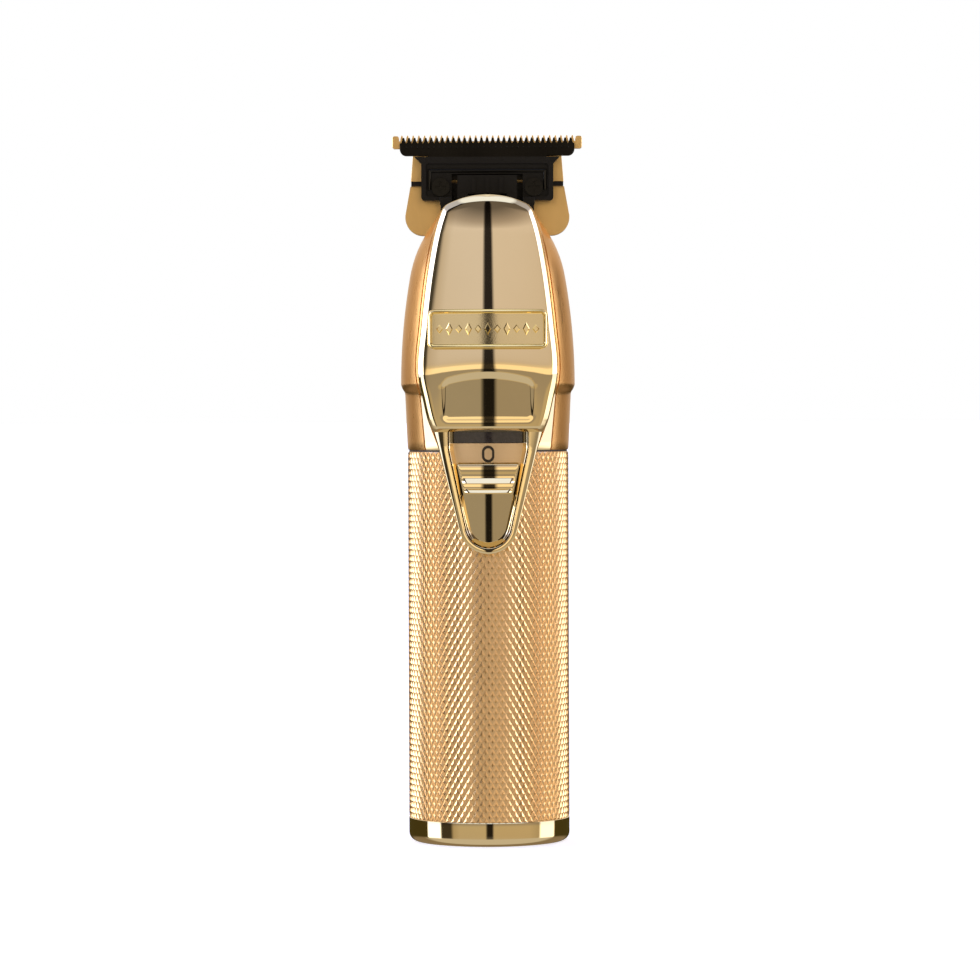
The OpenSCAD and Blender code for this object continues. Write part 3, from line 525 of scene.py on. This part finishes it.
plate_low, plate_top = span("name_plate")
PLATE_H = (plate_low.z + plate_top.z) / 2 - joint
PLATE_W = plate_top.x - plate_low.x
PLATE_TALL = 8.2
STUD_PITCH = 2.0
TALL_STUD = 1.75
SHORT_STUD = 1.15
plate_metal = metal("plate_gold", (0.96, 0.78, 0.38), 0.10, drift=0.02, grain=500)
plate_field = metal(
    "plate_field_gold", (0.82, 0.69, 0.38), 0.13, drift=0.04, grain=5200, relief=0.10, spread=0.04,
)

plate = bmesh.new()
level = plate.verts.layers.float.new("level")
corners = bmesh.ops.create_grid(plate, x_segments=1, y_segments=1, size=0.5)["verts"]
for v in corners:
    v.co = Vector((v.co.x * (PLATE_W - 0.1), 0, PLATE_H + v.co.y * PLATE_TALL))
bmesh.ops.bevel(
    plate, geom=corners, offset=1.35, offset_type="OFFSET", segments=8, profile=0.5,
    affect="VERTICES", material=-1,
)
bmesh.ops.recalc_face_normals(plate, faces=plate.faces)
if plate.faces[0].normal.y > 0:
    bmesh.ops.reverse_faces(plate, faces=plate.faces)
field = plate.faces[0]
for v in field.verts:
    v[level] = 0.5
foot = bmesh.ops.extrude_edge_only(plate, edges=field.edges[:])["geom"]
for v in foot:
    if isinstance(v, bmesh.types.BMVert):
        v[level] = -0.6
BORDER = ((0.10, 0.75), (0.16, 0.94), (0.18, 1.0), (0.18, 0.94), (0.16, 0.75), (0.08, 0.45), (0.1, 0.42))
for wide, up in BORDER:
    bmesh.ops.inset_region(plate, faces=[field], thickness=wide, depth=0)
    for v in field.verts:
        v[level] = up
field.material_index = 1
for k in range(-12, 13):
    bmesh.ops.bisect_plane(
        plate, geom=plate.verts[:] + plate.edges[:] + plate.faces[:], plane_co=(k, 0, 0), plane_no=(1, 0, 0),
    )
for v in plate.verts:
    v.co.y = -face_depth(v.co.x, v.co.z) - v[level]
for k in range(-5, 6):
    stud = bmesh.ops.create_cone(
        plate, cap_ends=True, segments=4, radius1=1.0, radius2=0.55, depth=0.5,
    )["verts"]
    x = k * STUD_PITCH
    stud_half = TALL_STUD if k % 2 == 0 else SHORT_STUD
    for v in stud:
        x_at, z_at, up = v.co.x * 0.9 + x, v.co.y * stud_half + PLATE_H, v.co.z
        v.co = Vector((x_at, -face_depth(x_at, z_at) - 0.45 - up, z_at))
    stud_faces = {f for v in stud for f in v.link_faces}
    for f in stud_faces:
        f.material_index = 0
    bmesh.ops.recalc_face_normals(plate, faces=list(stud_faces))
for v in plate.verts:
    v.co.z += joint
piece(
    "name_plate_blank", plate, [plate_metal, plate_field], "polished_gold", "body", "name_plate",
    smooth=30, even=True,
)


# ---- Switch tray -----------------------------------------------------------------------
# A polished insert pressed into the tongue's window: its wall slopes down to a round floor.
# The smoked strip over the charge lights lies at its upper end, and a zero marks "off".

FLOOR_R = 16.6
SLOT_HALF = 1.62
SLOT_LOW_H = -7.92
SLOT_TOP_H = -2.6
blasted_panel = metal("panel_gold", (0.80, 0.62, 0.42), 0.42, drift=0.04, grain=5200, relief=0.2, spread=0.05)


def window_edge(s, inset):
    x, h = frame_edge(s, False)
    if s < 0.6:
        return x - inset, h
    turn = math.radians(12.4 + 77.6 * (s - 0.6) / 0.4)
    return x - inset * math.cos(turn), h + inset * math.sin(turn)


tray = bmesh.new()
tray_rim(
    tray,
    [(0, 15.4), (0, 17.6), (0.04, 17.78), (0.1, 17.84), (0.17, 17.76), (0.94, 16.62), (1, 16.55), (1, 15.4),
     (0, 15.4)],
    lambda s: window_edge(s, 0.16), lambda s: window_edge(s, 1.2),
)
bmesh.ops.holes_fill(tray, edges=[e for e in tray.edges if e.is_boundary], sides=12)
floor = bmesh.ops.create_grid(tray, x_segments=24, y_segments=48, size=0.5)["verts"]
for v in floor:
    t = v.co.y + 0.5
    h = -19.2 + (1.62 + 19.2) * t ** 1.5
    end_r = WINDOW_END_R - 1.16
    if h < -15.9:
        half = math.sqrt(max(0.01, end_r ** 2 - (h - TONGUE_END_H) ** 2))
    else:
        half = min(7.25, 3.73 + (7.25 - 3.73) * (h + 15.9) / 16.4)
    x = v.co.x * 2 * half
    v.co = Vector((x, -math.sqrt(FLOOR_R ** 2 - x * x), joint + h))
floor_faces = {f for v in floor for f in v.link_faces}
for place, way in (
    ((SLOT_HALF, 0, 0), (1, 0, 0)), ((-SLOT_HALF, 0, 0), (1, 0, 0)),
    ((0, 0, joint + SLOT_LOW_H), (0, 0, 1)), ((0, 0, joint + SLOT_TOP_H), (0, 0, 1)),
):
    region = [f for f in tray.faces if abs(f.calc_center_median().xy.length - FLOOR_R) < 0.1]
    parts = region + list({e for f in region for e in f.edges}) + list({v for f in region for v in f.verts})
    bmesh.ops.bisect_plane(tray, geom=parts, plane_co=place, plane_no=way)
slot_gap = [
    f for f in tray.faces
    if abs(f.calc_center_median().x) < SLOT_HALF
    and SLOT_LOW_H < f.calc_center_median().z - joint < SLOT_TOP_H
    and abs(f.calc_center_median().xy.length - FLOOR_R) < 0.1
]
bmesh.ops.delete(tray, geom=slot_gap, context="FACES")
bmesh.ops.recalc_face_normals(tray, faces=tray.faces)
floor_faces = [f for f in tray.faces if all(abs(v.co.xy.length - FLOOR_R) < 0.02 for v in f.verts)]
if floor_faces[0].normal.y > 0:
    bmesh.ops.reverse_faces(tray, faces=floor_faces)
for f in floor_faces:
    f.material_index = 1 if f.calc_center_median().z > joint + SLOT_TOP_H else 0
bmesh.ops.solidify(tray, geom=floor_faces, thickness=1.1)
piece("switch_tray", tray, [polished, blasted_panel], "polished_gold", "body", "switch_channel", smooth=50)


# ---- Switch slider ---------------------------------------------------------------------
# The polished button: a smooth ramp with two grip ridges, which the thumb pushes up.

def cad_copy(node):
    """A CAD node's mesh in millimetres, with its loose triangles joined and its flat faces made whole."""
    bm = bmesh.new()
    bm.from_mesh(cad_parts[node].data)
    bmesh.ops.scale(bm, vec=(1000, 1000, 1000), verts=bm.verts)
    bmesh.ops.remove_doubles(bm, verts=bm.verts, dist=2e-3)
    bmesh.ops.dissolve_limit(
        bm, angle_limit=math.radians(1.5), verts=bm.verts[:], edges=bm.edges[:], use_dissolve_boundaries=False,
    )
    return bm


slide_low, slide_top = span("switch_slider")
SLIDE_SIDE = [(-8.9, 18.3), (-8.7, 18.4), (-5.2, 18.4), (-3.0, 18.34), (-2.75, 18.2), (-2.45, 17.7)]
RIDGES = ((-5.6, 1.25), (-7.75, 1.05))
RIDGE_OUT = 0.76
SLIDE_FOOT_R = FLOOR_R + 0.25
slider = bmesh.new()
bmesh.ops.create_grid(slider, x_segments=40, y_segments=90, size=0.5)
for v in slider.verts:
    t = v.co.y + 0.5
    h = slide_low.z - joint + 0.06 + (slide_top.z - slide_low.z - 0.12) * t
    half = 4.9 + 1.38 * t
    x = 2 * v.co.x * half
    out = 0.0
    for ridge_top_h, tall in RIDGES:
        down = (ridge_top_h - h) / tall
        across = 0 if down < 0 or down > 1 else min(down / 0.84, (1 - down) / 0.16)
        past = max(0, abs(x) - (half - 0.9)) / 0.75
        out = max(out, RIDGE_OUT * across * max(0, 1 - past * past))
    v.co = Vector((x, -eased(SLIDE_SIDE, h) - out + x * x / 70, joint + h))
bmesh.ops.recalc_face_normals(slider, faces=slider.faces)
if slider.faces[0].normal.y > 0:
    bmesh.ops.reverse_faces(slider, faces=slider.faces)
edge = [e for e in slider.edges if e.is_boundary]
for out, back in ((0.04, 0.04), (0.03, 0.10)):
    edge = step_out(slider, edge, out, back)
foot = bmesh.ops.extrude_edge_only(slider, edges=edge)["geom"]
for v in foot:
    if isinstance(v, bmesh.types.BMVert):
        v.co.y = -math.sqrt(SLIDE_FOOT_R ** 2 - v.co.x ** 2)
under = bmesh.ops.holes_fill(slider, edges=[e for e in slider.edges if e.is_boundary])["faces"]
for k in range(-6, 7):
    parts = {g for f in under for g in (f, *f.edges, *f.verts)}
    cut = bmesh.ops.bisect_plane(slider, geom=list(parts), plane_co=(k, 0, 0), plane_no=(1, 0, 0))
    under = [g for g in cut["geom"] if isinstance(g, bmesh.types.BMFace)]
for v in {v for f in under for v in f.verts}:
    v.co.y = -math.sqrt(SLIDE_FOOT_R ** 2 - v.co.x ** 2)
stem = bmesh.ops.create_cube(slider, size=1)["verts"]
bmesh.ops.scale(slider, vec=(2.2, 2.4, 1.0), verts=stem)
bmesh.ops.translate(slider, vec=(0, -15.9, joint - 7.2), verts=stem)
piece("slide_button", slider, [polished], "polished_gold", "switch", "switch_slider", smooth=60)


# ---- Blade set -------------------------------------------------------------------------
# The fixed T-blade and the bracket behind it: ground steel with a gold coating. The moving
# blade in front of it: ground steel with a black coating, its teeth thinned to the tips.

blade_gold = metal("blade_gold", (1.0, 0.69, 0.32), 0.34, drift=0.05, grain=1800, lay=(1, 1, 0.06), relief=0.10)
blade_black = metal(
    "blade_black", (0.020, 0.019, 0.018), 0.34, drift=0.2, grain=1800, lay=(0.06, 1, 1), relief=0.10,
)

comb = cad_copy("fixed_blade")
comb_low, comb_top = span("fixed_blade")
for v in comb.verts:
    if v.co.z > comb_top.z - 0.4 and abs(v.co.x) < 18.6:
        v.co.y = comb_low.y + (v.co.y - comb_low.y) * 0.45
soften(comb, 0.06, segments=1, angle=30)
piece("gold_comb_blade", comb, [blade_gold], "blade_gold", "body", "fixed_blade", smooth=30, even=True)

cutter = cad_copy("moving_blade")
cutter_low, cutter_top = span("moving_blade")
for v in cutter.verts:
    if v.co.z > cutter_top.z - 0.1 and v.co.y < cutter_top.y - 0.5:
        v.co.y += 0.9
soften(cutter, 0.08, segments=1, angle=30)
FLUTE_PITCH = 1.18
for k in range(-15, 15):
    flute = bmesh.ops.create_cube(cutter, size=1)["verts"]
    bmesh.ops.scale(cutter, vec=(0.62, 0.24, 2.6), verts=flute)
    bmesh.ops.translate(cutter, vec=(k * FLUTE_PITCH, cutter_low.y + 0.05, cutter_top.z - 2.4), verts=flute)
    pip = bmesh.ops.create_icosphere(cutter, subdivisions=1, radius=0.22)["verts"]
    bmesh.ops.scale(cutter, vec=(1, 0.7, 1.3), verts=pip)
    bmesh.ops.translate(cutter, vec=((k + 0.5) * FLUTE_PITCH, cutter_low.y, cutter_top.z - 2.1), verts=pip)
piece("black_cutter", cutter, [blade_black], "blade_black", "blade", "moving_blade", smooth=30, even=True)

bracket = cad_copy("blade_bracket")
soften(bracket, 0.25, segments=2)
piece("gold_bracket", bracket, [blade_gold], "blade_gold", "body", "blade_bracket", smooth=30, even=True)


# ---- Yoke, drive fork and neck ---------------------------------------------------------
# Black glass-filled nylon, moulded with a fine spark-eroded grain. Two screws hold the yoke
# to the bracket, and the fork between its arms carries the moving blade.

def moulded(name, colour, gloss=0.42, grain=3800, relief=0.18, coat=0.0, shine=0.5):
    """Moulded plastic: a fine eroded grain, with gloss and shade that vary a little."""
    material = bpy.data.materials.new(name)
    material.use_nodes = True
    nodes, links = material.node_tree.nodes, material.node_tree.links
    shader = nodes["Principled BSDF"]
    shader.inputs["IOR"].default_value = 1.5
    shader.inputs["Specular IOR Level"].default_value = shine
    shader.inputs["Coat Weight"].default_value = coat
    shader.inputs["Coat Roughness"].default_value = 0.06
    place = nodes.new("ShaderNodeTexCoord")
    fine = nodes.new("ShaderNodeTexNoise")
    fine.inputs["Scale"].default_value = grain
    fine.inputs["Detail"].default_value = 3.0
    links.new(place.outputs["Object"], fine.inputs["Vector"])
    tint = nodes.new("ShaderNodeValToRGB")
    tint.color_ramp.elements[0].position = 0.35
    tint.color_ramp.elements[1].position = 0.65
    tint.color_ramp.elements[0].color = (*(c * 0.8 for c in colour), 1)
    tint.color_ramp.elements[1].color = (*(min(1, c * 1.25) for c in colour), 1)
    links.new(fine.outputs["Fac"], tint.inputs["Fac"])
    links.new(tint.outputs["Color"], shader.inputs["Base Color"])
    polish = nodes.new("ShaderNodeMapRange")
    polish.inputs["To Min"].default_value = gloss - 0.06
    polish.inputs["To Max"].default_value = gloss + 0.08
    links.new(fine.outputs["Fac"], polish.inputs["Value"])
    links.new(polish.outputs["Result"], shader.inputs["Roughness"])
    bump = nodes.new("ShaderNodeBump")
    bump.inputs["Strength"].default_value = relief
    bump.inputs["Distance"].default_value = 0.0001
    links.new(fine.outputs["Fac"], bump.inputs["Height"])
    links.new(bump.outputs["Normal"], shader.inputs["Normal"])
    return material


nylon = moulded("black_plastic", (0.006, 0.0055, 0.005), shine=0.22)

yoke = cad_copy("blade_yoke")
soften(yoke, 0.22, segments=2)
piece("nylon_yoke", yoke, [nylon], "black_plastic", "body", "blade_yoke", smooth=32, even=True)

fork = cad_copy("drive_fork")
soften(fork, 0.18, segments=2)
piece("nylon_fork", fork, [nylon], "black_plastic", "blade", "drive_fork", smooth=32, even=True)

neck = cad_copy("neck_boot")
soften(neck, 0.25, segments=2)
for side in (-1, 1):
    cheek = bmesh.ops.create_cube(neck, size=1)["verts"]
    bmesh.ops.scale(neck, vec=(2.0, 5.0, 1.7), verts=cheek)
    bmesh.ops.translate(neck, vec=(side * 8.85, -1.2, shell_top.z - 0.55), verts=cheek)
piece("nylon_neck", neck, [nylon], "black_plastic", "body", "neck_boot", smooth=32, even=True)


# ---- Pieces inside ---------------------------------------------------------------------
# The battery, the circuit board, the switch and the motor. Their CAD shapes stay, and each
# gets the finish of what it is made of.

steel = metal("plain_steel", (0.62, 0.62, 0.64), 0.28, grain=1600, lay=(1, 1, 0.1), relief=0.08)
brass = metal("turned_brass", (0.80, 0.58, 0.26), 0.24, grain=1600, lay=(0.1, 0.1, 1), relief=0.06)
copper = metal("wound_copper", (0.62, 0.30, 0.16), 0.35, grain=700, lay=(0.2, 0.2, 5), relief=0.5, drift=0.15)
ferrite = moulded("magnet_ferrite", (0.05, 0.05, 0.055), gloss=0.6)
wrap = moulded("cell_wrap", (0.05, 0.14, 0.32), gloss=0.3, grain=500, relief=0.05, coat=0.4)
board = moulded("board_green", (0.02, 0.12, 0.05), gloss=0.3, grain=900, relief=0.1, coat=0.5)
clear = moulded("light_white", (0.78, 0.78, 0.72), gloss=0.2, grain=900, relief=0.03, coat=0.6)
red = moulded("lead_red", (0.42, 0.03, 0.02), gloss=0.38, grain=1200, relief=0.05)
rubber = moulded("seal_rubber", (0.03, 0.018, 0.010), gloss=0.55, grain=2600, relief=0.2)
smoked = moulded("smoked_plastic", (0.022, 0.017, 0.015), gloss=0.14, grain=1200, relief=0.03, coat=0.7)
mark = moulded("mark_black", (0.02, 0.014, 0.008), gloss=0.3, grain=2600, relief=0.1)
coated = metal("coated_screw", (0.03, 0.03, 0.03), 0.3, grain=1500, relief=0.1)
finishes = {
    nylon: ["end_plate", "charge_socket", "battery_holder", "switch_knob", "switch_carrier", "motor_end_cap",
            "motor_cradle", "motor_mount"],
    steel: ["end_screws", "battery_tabs", "switch_body", "motor_can", "motor_shaft", "motor_screws",
            "cam_bearing"],
    brass: ["motor_bushes", "eccentric_cam"],
    copper: ["motor_armature"],
    ferrite: ["motor_magnets"],
    wrap: ["battery_cell"],
    board: ["circuit_board"],
    clear: ["indicator_lights"],
    red: ["battery_leads", "motor_leads"],
    rubber: ["joint_seal"],
    smoked: ["indicator_window"],
    mark: ["zero_mark"],
    coated: ["blade_screws", "blade_spring"],
    blade_gold: ["bracket_screws"],
}
for material, names in finishes.items():
    for name in names:
        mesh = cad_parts[name].data
        mesh.materials.clear()
        mesh.materials.append(material)


# ---- Studio ----------------------------------------------------------------------------
# A pale table in a tent of soft boxes: a tall white one on each side, tan panels in front
# on both sides of the camera's dark gap, and darkness between them.

floor_card = bmesh.new()
bmesh.ops.create_grid(floor_card, x_segments=1, y_segments=1, size=30)
floor_mesh = bpy.data.meshes.new("studio_table")
floor_card.to_mesh(floor_mesh)
floor_card.free()
table = bpy.data.objects.new("studio_table", floor_mesh)
bpy.context.scene.collection.objects.link(table)
paper = bpy.data.materials.new("table_paper")
paper.use_nodes = True
paper_shader = paper.node_tree.nodes["Principled BSDF"]
paper_shader.inputs["Base Color"].default_value = (0.86, 0.88, 0.98, 1)
paper_shader.inputs["Roughness"].default_value = 0.9
paper_shader.inputs["Specular IOR Level"].default_value = 0.1
paper_shader.inputs["Emission Color"].default_value = (0.83, 0.87, 1.0, 1)
paper_shader.inputs["Emission Strength"].default_value = 0.6
floor_mesh.materials.append(paper)
table.visible_glossy = False

world = bpy.data.worlds.new("studio")
bpy.context.scene.world = world
world.use_nodes = True
sky, wires = world.node_tree.nodes, world.node_tree.links
sky.clear()


def sky_math(kind, *inputs):
    node = sky.new("ShaderNodeMath")
    node.operation = kind
    for socket, value in zip(node.inputs, inputs):
        if isinstance(value, (int, float)):
            socket.default_value = value
        else:
            wires.new(value, socket)
    return node.outputs[0]


def sky_ramp(factor, stops):
    node = sky.new("ShaderNodeValToRGB")
    ramp = node.color_ramp
    while len(ramp.elements) > 1:
        ramp.elements.remove(ramp.elements[-1])
    for k, (place, colour) in enumerate(stops):
        element = ramp.elements[0] if k == 0 else ramp.elements.new(place)
        element.position = place
        element.color = (*colour, 1)
    wires.new(factor, node.inputs["Fac"])
    return node.outputs["Color"]


DARK = (0.035, 0.030, 0.020)
GAP = (0.012, 0.010, 0.008)
PANEL = (0.36, 0.31, 0.24)
PANEL_WARM = (0.36, 0.30, 0.22)
PANEL_DIM = (0.30, 0.25, 0.18)
WHITE = (1.5, 1.6, 1.9)
CREAM = (1.25, 1.25, 1.35)
AMBER = (0.30, 0.18, 0.06)
SIDE_DIM = (0.34, 0.24, 0.14)
SIDE = (0.46, 0.35, 0.23)
BEHIND = (0.66, 0.58, 0.48)
round_stops = [
    (-180, BEHIND), (-160, BEHIND), (-145, SIDE), (-120, SIDE_DIM), (-111, AMBER), (-108, WHITE), (-76, WHITE),
    (-73, DARK), (-57, DARK), (-53, PANEL_DIM), (-43, PANEL), (-5, PANEL), (-3.8, GAP), (5, GAP),
    (6.2, PANEL_WARM),
    (60, PANEL_WARM), (76, PANEL_DIM), (80, CREAM), (106, CREAM), (109, AMBER), (120, SIDE_DIM), (145, SIDE),
    (160, BEHIND), (180, BEHIND),
]
direction = sky.new("ShaderNodeTexCoord").outputs["Generated"]
split = sky.new("ShaderNodeSeparateXYZ")
wires.new(direction, split.inputs[0])
x_way, y_way, z_way = split.outputs
azimuth = sky_math("ARCTAN2", x_way, sky_math("MULTIPLY", y_way, -1.0))
share = sky_math("ADD", sky_math("DIVIDE", azimuth, 2 * math.pi), 0.5)
lift = sky_math("ADD", sky_math("DIVIDE", sky_math("ARCSINE", z_way), math.pi), 0.5)


def by_azimuth(*stops):
    """A colour or a share round the horizon, from places in degrees off the camera's own."""
    return sky_ramp(share, [((a + 180) / 360, shade(value)) for a, value in stops])


def by_height(*stops):
    """A colour or a share up the sky, from places in degrees over the horizon."""
    return sky_ramp(lift, [(e / 180 + 0.5, shade(value)) for e, value in stops])


def shade(value):
    return value if isinstance(value, tuple) else (value, value, value)


def sky_mix(kind, factor, a, b):
    node = sky.new("ShaderNodeMix")
    node.data_type = "RGBA"
    node.blend_type = kind
    if isinstance(factor, float):
        node.inputs["Factor"].default_value = factor
    else:
        wires.new(factor, node.inputs["Factor"])
    for socket, value in ((node.inputs[6], a), (node.inputs[7], b)):
        if isinstance(value, tuple):
            socket.default_value = (*value, 1)
        else:
            wires.new(value, socket)
    return node.outputs[2]


def patch(height, azimuth):
    """The share of a patch of the sky, from its share up and its share round."""
    return sky_mix("MULTIPLY", 1.0, height, azimuth)


bands = by_azimuth(*round_stops)
levels = by_height(
    (-90, 1), (-14, (1.5, 1.4, 1.2)), (-7.1, (1.55, 1.45, 1.2)), (-6.3, (1.05, 1.03, 1.05)), (-0.3, 1),
    (1.2, (3.4, 3.2, 2.8)), (13, (3.4, 3.2, 2.8)), (16, (2.2, 2.1, 1.95)), (20, (1.8, 1.8, 2.1)),
    (24, (2.05, 2.15, 2.8)), (29, (2.1, 2.2, 2.9)), (33, (1.2, 1.2, 1.5)), (38, (0.4, 0.4, 0.5)), (90, 0.3),
)
lit = sky_mix("MULTIPLY", 1.0, bands, levels)
outer = by_azimuth((-180, 1), (-114, 1), (-106, 0), (106, 0), (118, 1), (180, 1))
outer_lit = by_height(
    (-90, 0), (-4, 0), (4, (0.10, 0.08, 0.06)), (10, (0.18, 0.15, 0.12)), (20, (0.27, 0.25, 0.23)),
    (50, (0.31, 0.30, 0.29)), (90, 0.15),
)
filled = sky_mix("ADD", 1.0, bands, sky_mix("MULTIPLY", 1.0, outer, outer_lit))
filled = sky_mix("MIX", outer, lit, filled)
foot_shade = patch(
    by_height((-90, 1), (-4.8, 1), (-3.6, 0), (90, 0)),
    by_azimuth((-180, 1), (-101, 1), (-99, 0), (107, 0), (109, 1), (180, 1)),
)
shaded = sky_mix("MIX", foot_shade, filled, (0.06, 0.045, 0.012))
flag = patch(
    by_height((-90, 0), (4, 0), (6, 1), (14, 1), (16, 0), (90, 0)),
    by_azimuth((-180, 0), (110, 0), (112, 1), (131, 1), (134, 0), (180, 0)),
)
flagged = sky_mix("MIX", flag, shaded, GAP)
table_share = by_height((-90, 1), (-20, 1), (-12, 0), (90, 0))
TABLE_SIDE = (0.26, 0.20, 0.13)
TABLE_FRONT = (0.60, 0.54, 0.46)
tabled = sky_mix("MIX", table_share, flagged, by_azimuth(
    (-180, TABLE_SIDE), (-112, TABLE_SIDE), (-96, TABLE_FRONT), (96, TABLE_FRONT), (112, TABLE_SIDE),
    (180, TABLE_SIDE),
))
roof_share = patch(
    by_height((-90, 0), (61, 0), (65, 1), (90, 1)),
    by_azimuth((-180, 0.25), (-130, 0.25), (-100, 1), (100, 1), (130, 0.25), (180, 0.25)),
)
topped = sky_mix("MIX", roof_share, tabled, (1.0, 1.1, 1.4))
lamps = sky.new("ShaderNodeBackground")
lamps.inputs["Strength"].default_value = 1.0
wires.new(topped, lamps.inputs["Color"])
backdrop = sky.new("ShaderNodeBackground")
backdrop.inputs["Color"].default_value = (1, 1, 1, 1)
seen = sky.new("ShaderNodeLightPath")
choose = sky.new("ShaderNodeMixShader")
wires.new(seen.outputs["Is Camera Ray"], choose.inputs["Fac"])
wires.new(lamps.outputs[0], choose.inputs[1])
wires.new(backdrop.outputs[0], choose.inputs[2])
sky_out = sky.new("ShaderNodeOutputWorld")
wires.new(choose.outputs[0], sky_out.inputs["Surface"])

CAMERA_AWAY = 0.877
CAMERA_HEIGHT = 0.091
AIM_HEIGHT = 0.0742
view = bpy.data.cameras.new("studio_camera")
view.lens = 152
view.sensor_width = 36
view.clip_start = 0.01
eye = bpy.data.objects.new("studio_camera", view)
bpy.context.scene.collection.objects.link(eye)
eye.location = (0.00036, -CAMERA_AWAY, CAMERA_HEIGHT)
aim = Vector((0.00036, 0, AIM_HEIGHT)) - eye.location
eye.rotation_euler = (aim.to_track_quat("-Z", "Y") @ Quaternion((0, 0, 1), math.radians(-0.2))).to_euler()
bpy.context.scene.camera = eye
bpy.context.scene.view_settings.view_transform = "Standard"
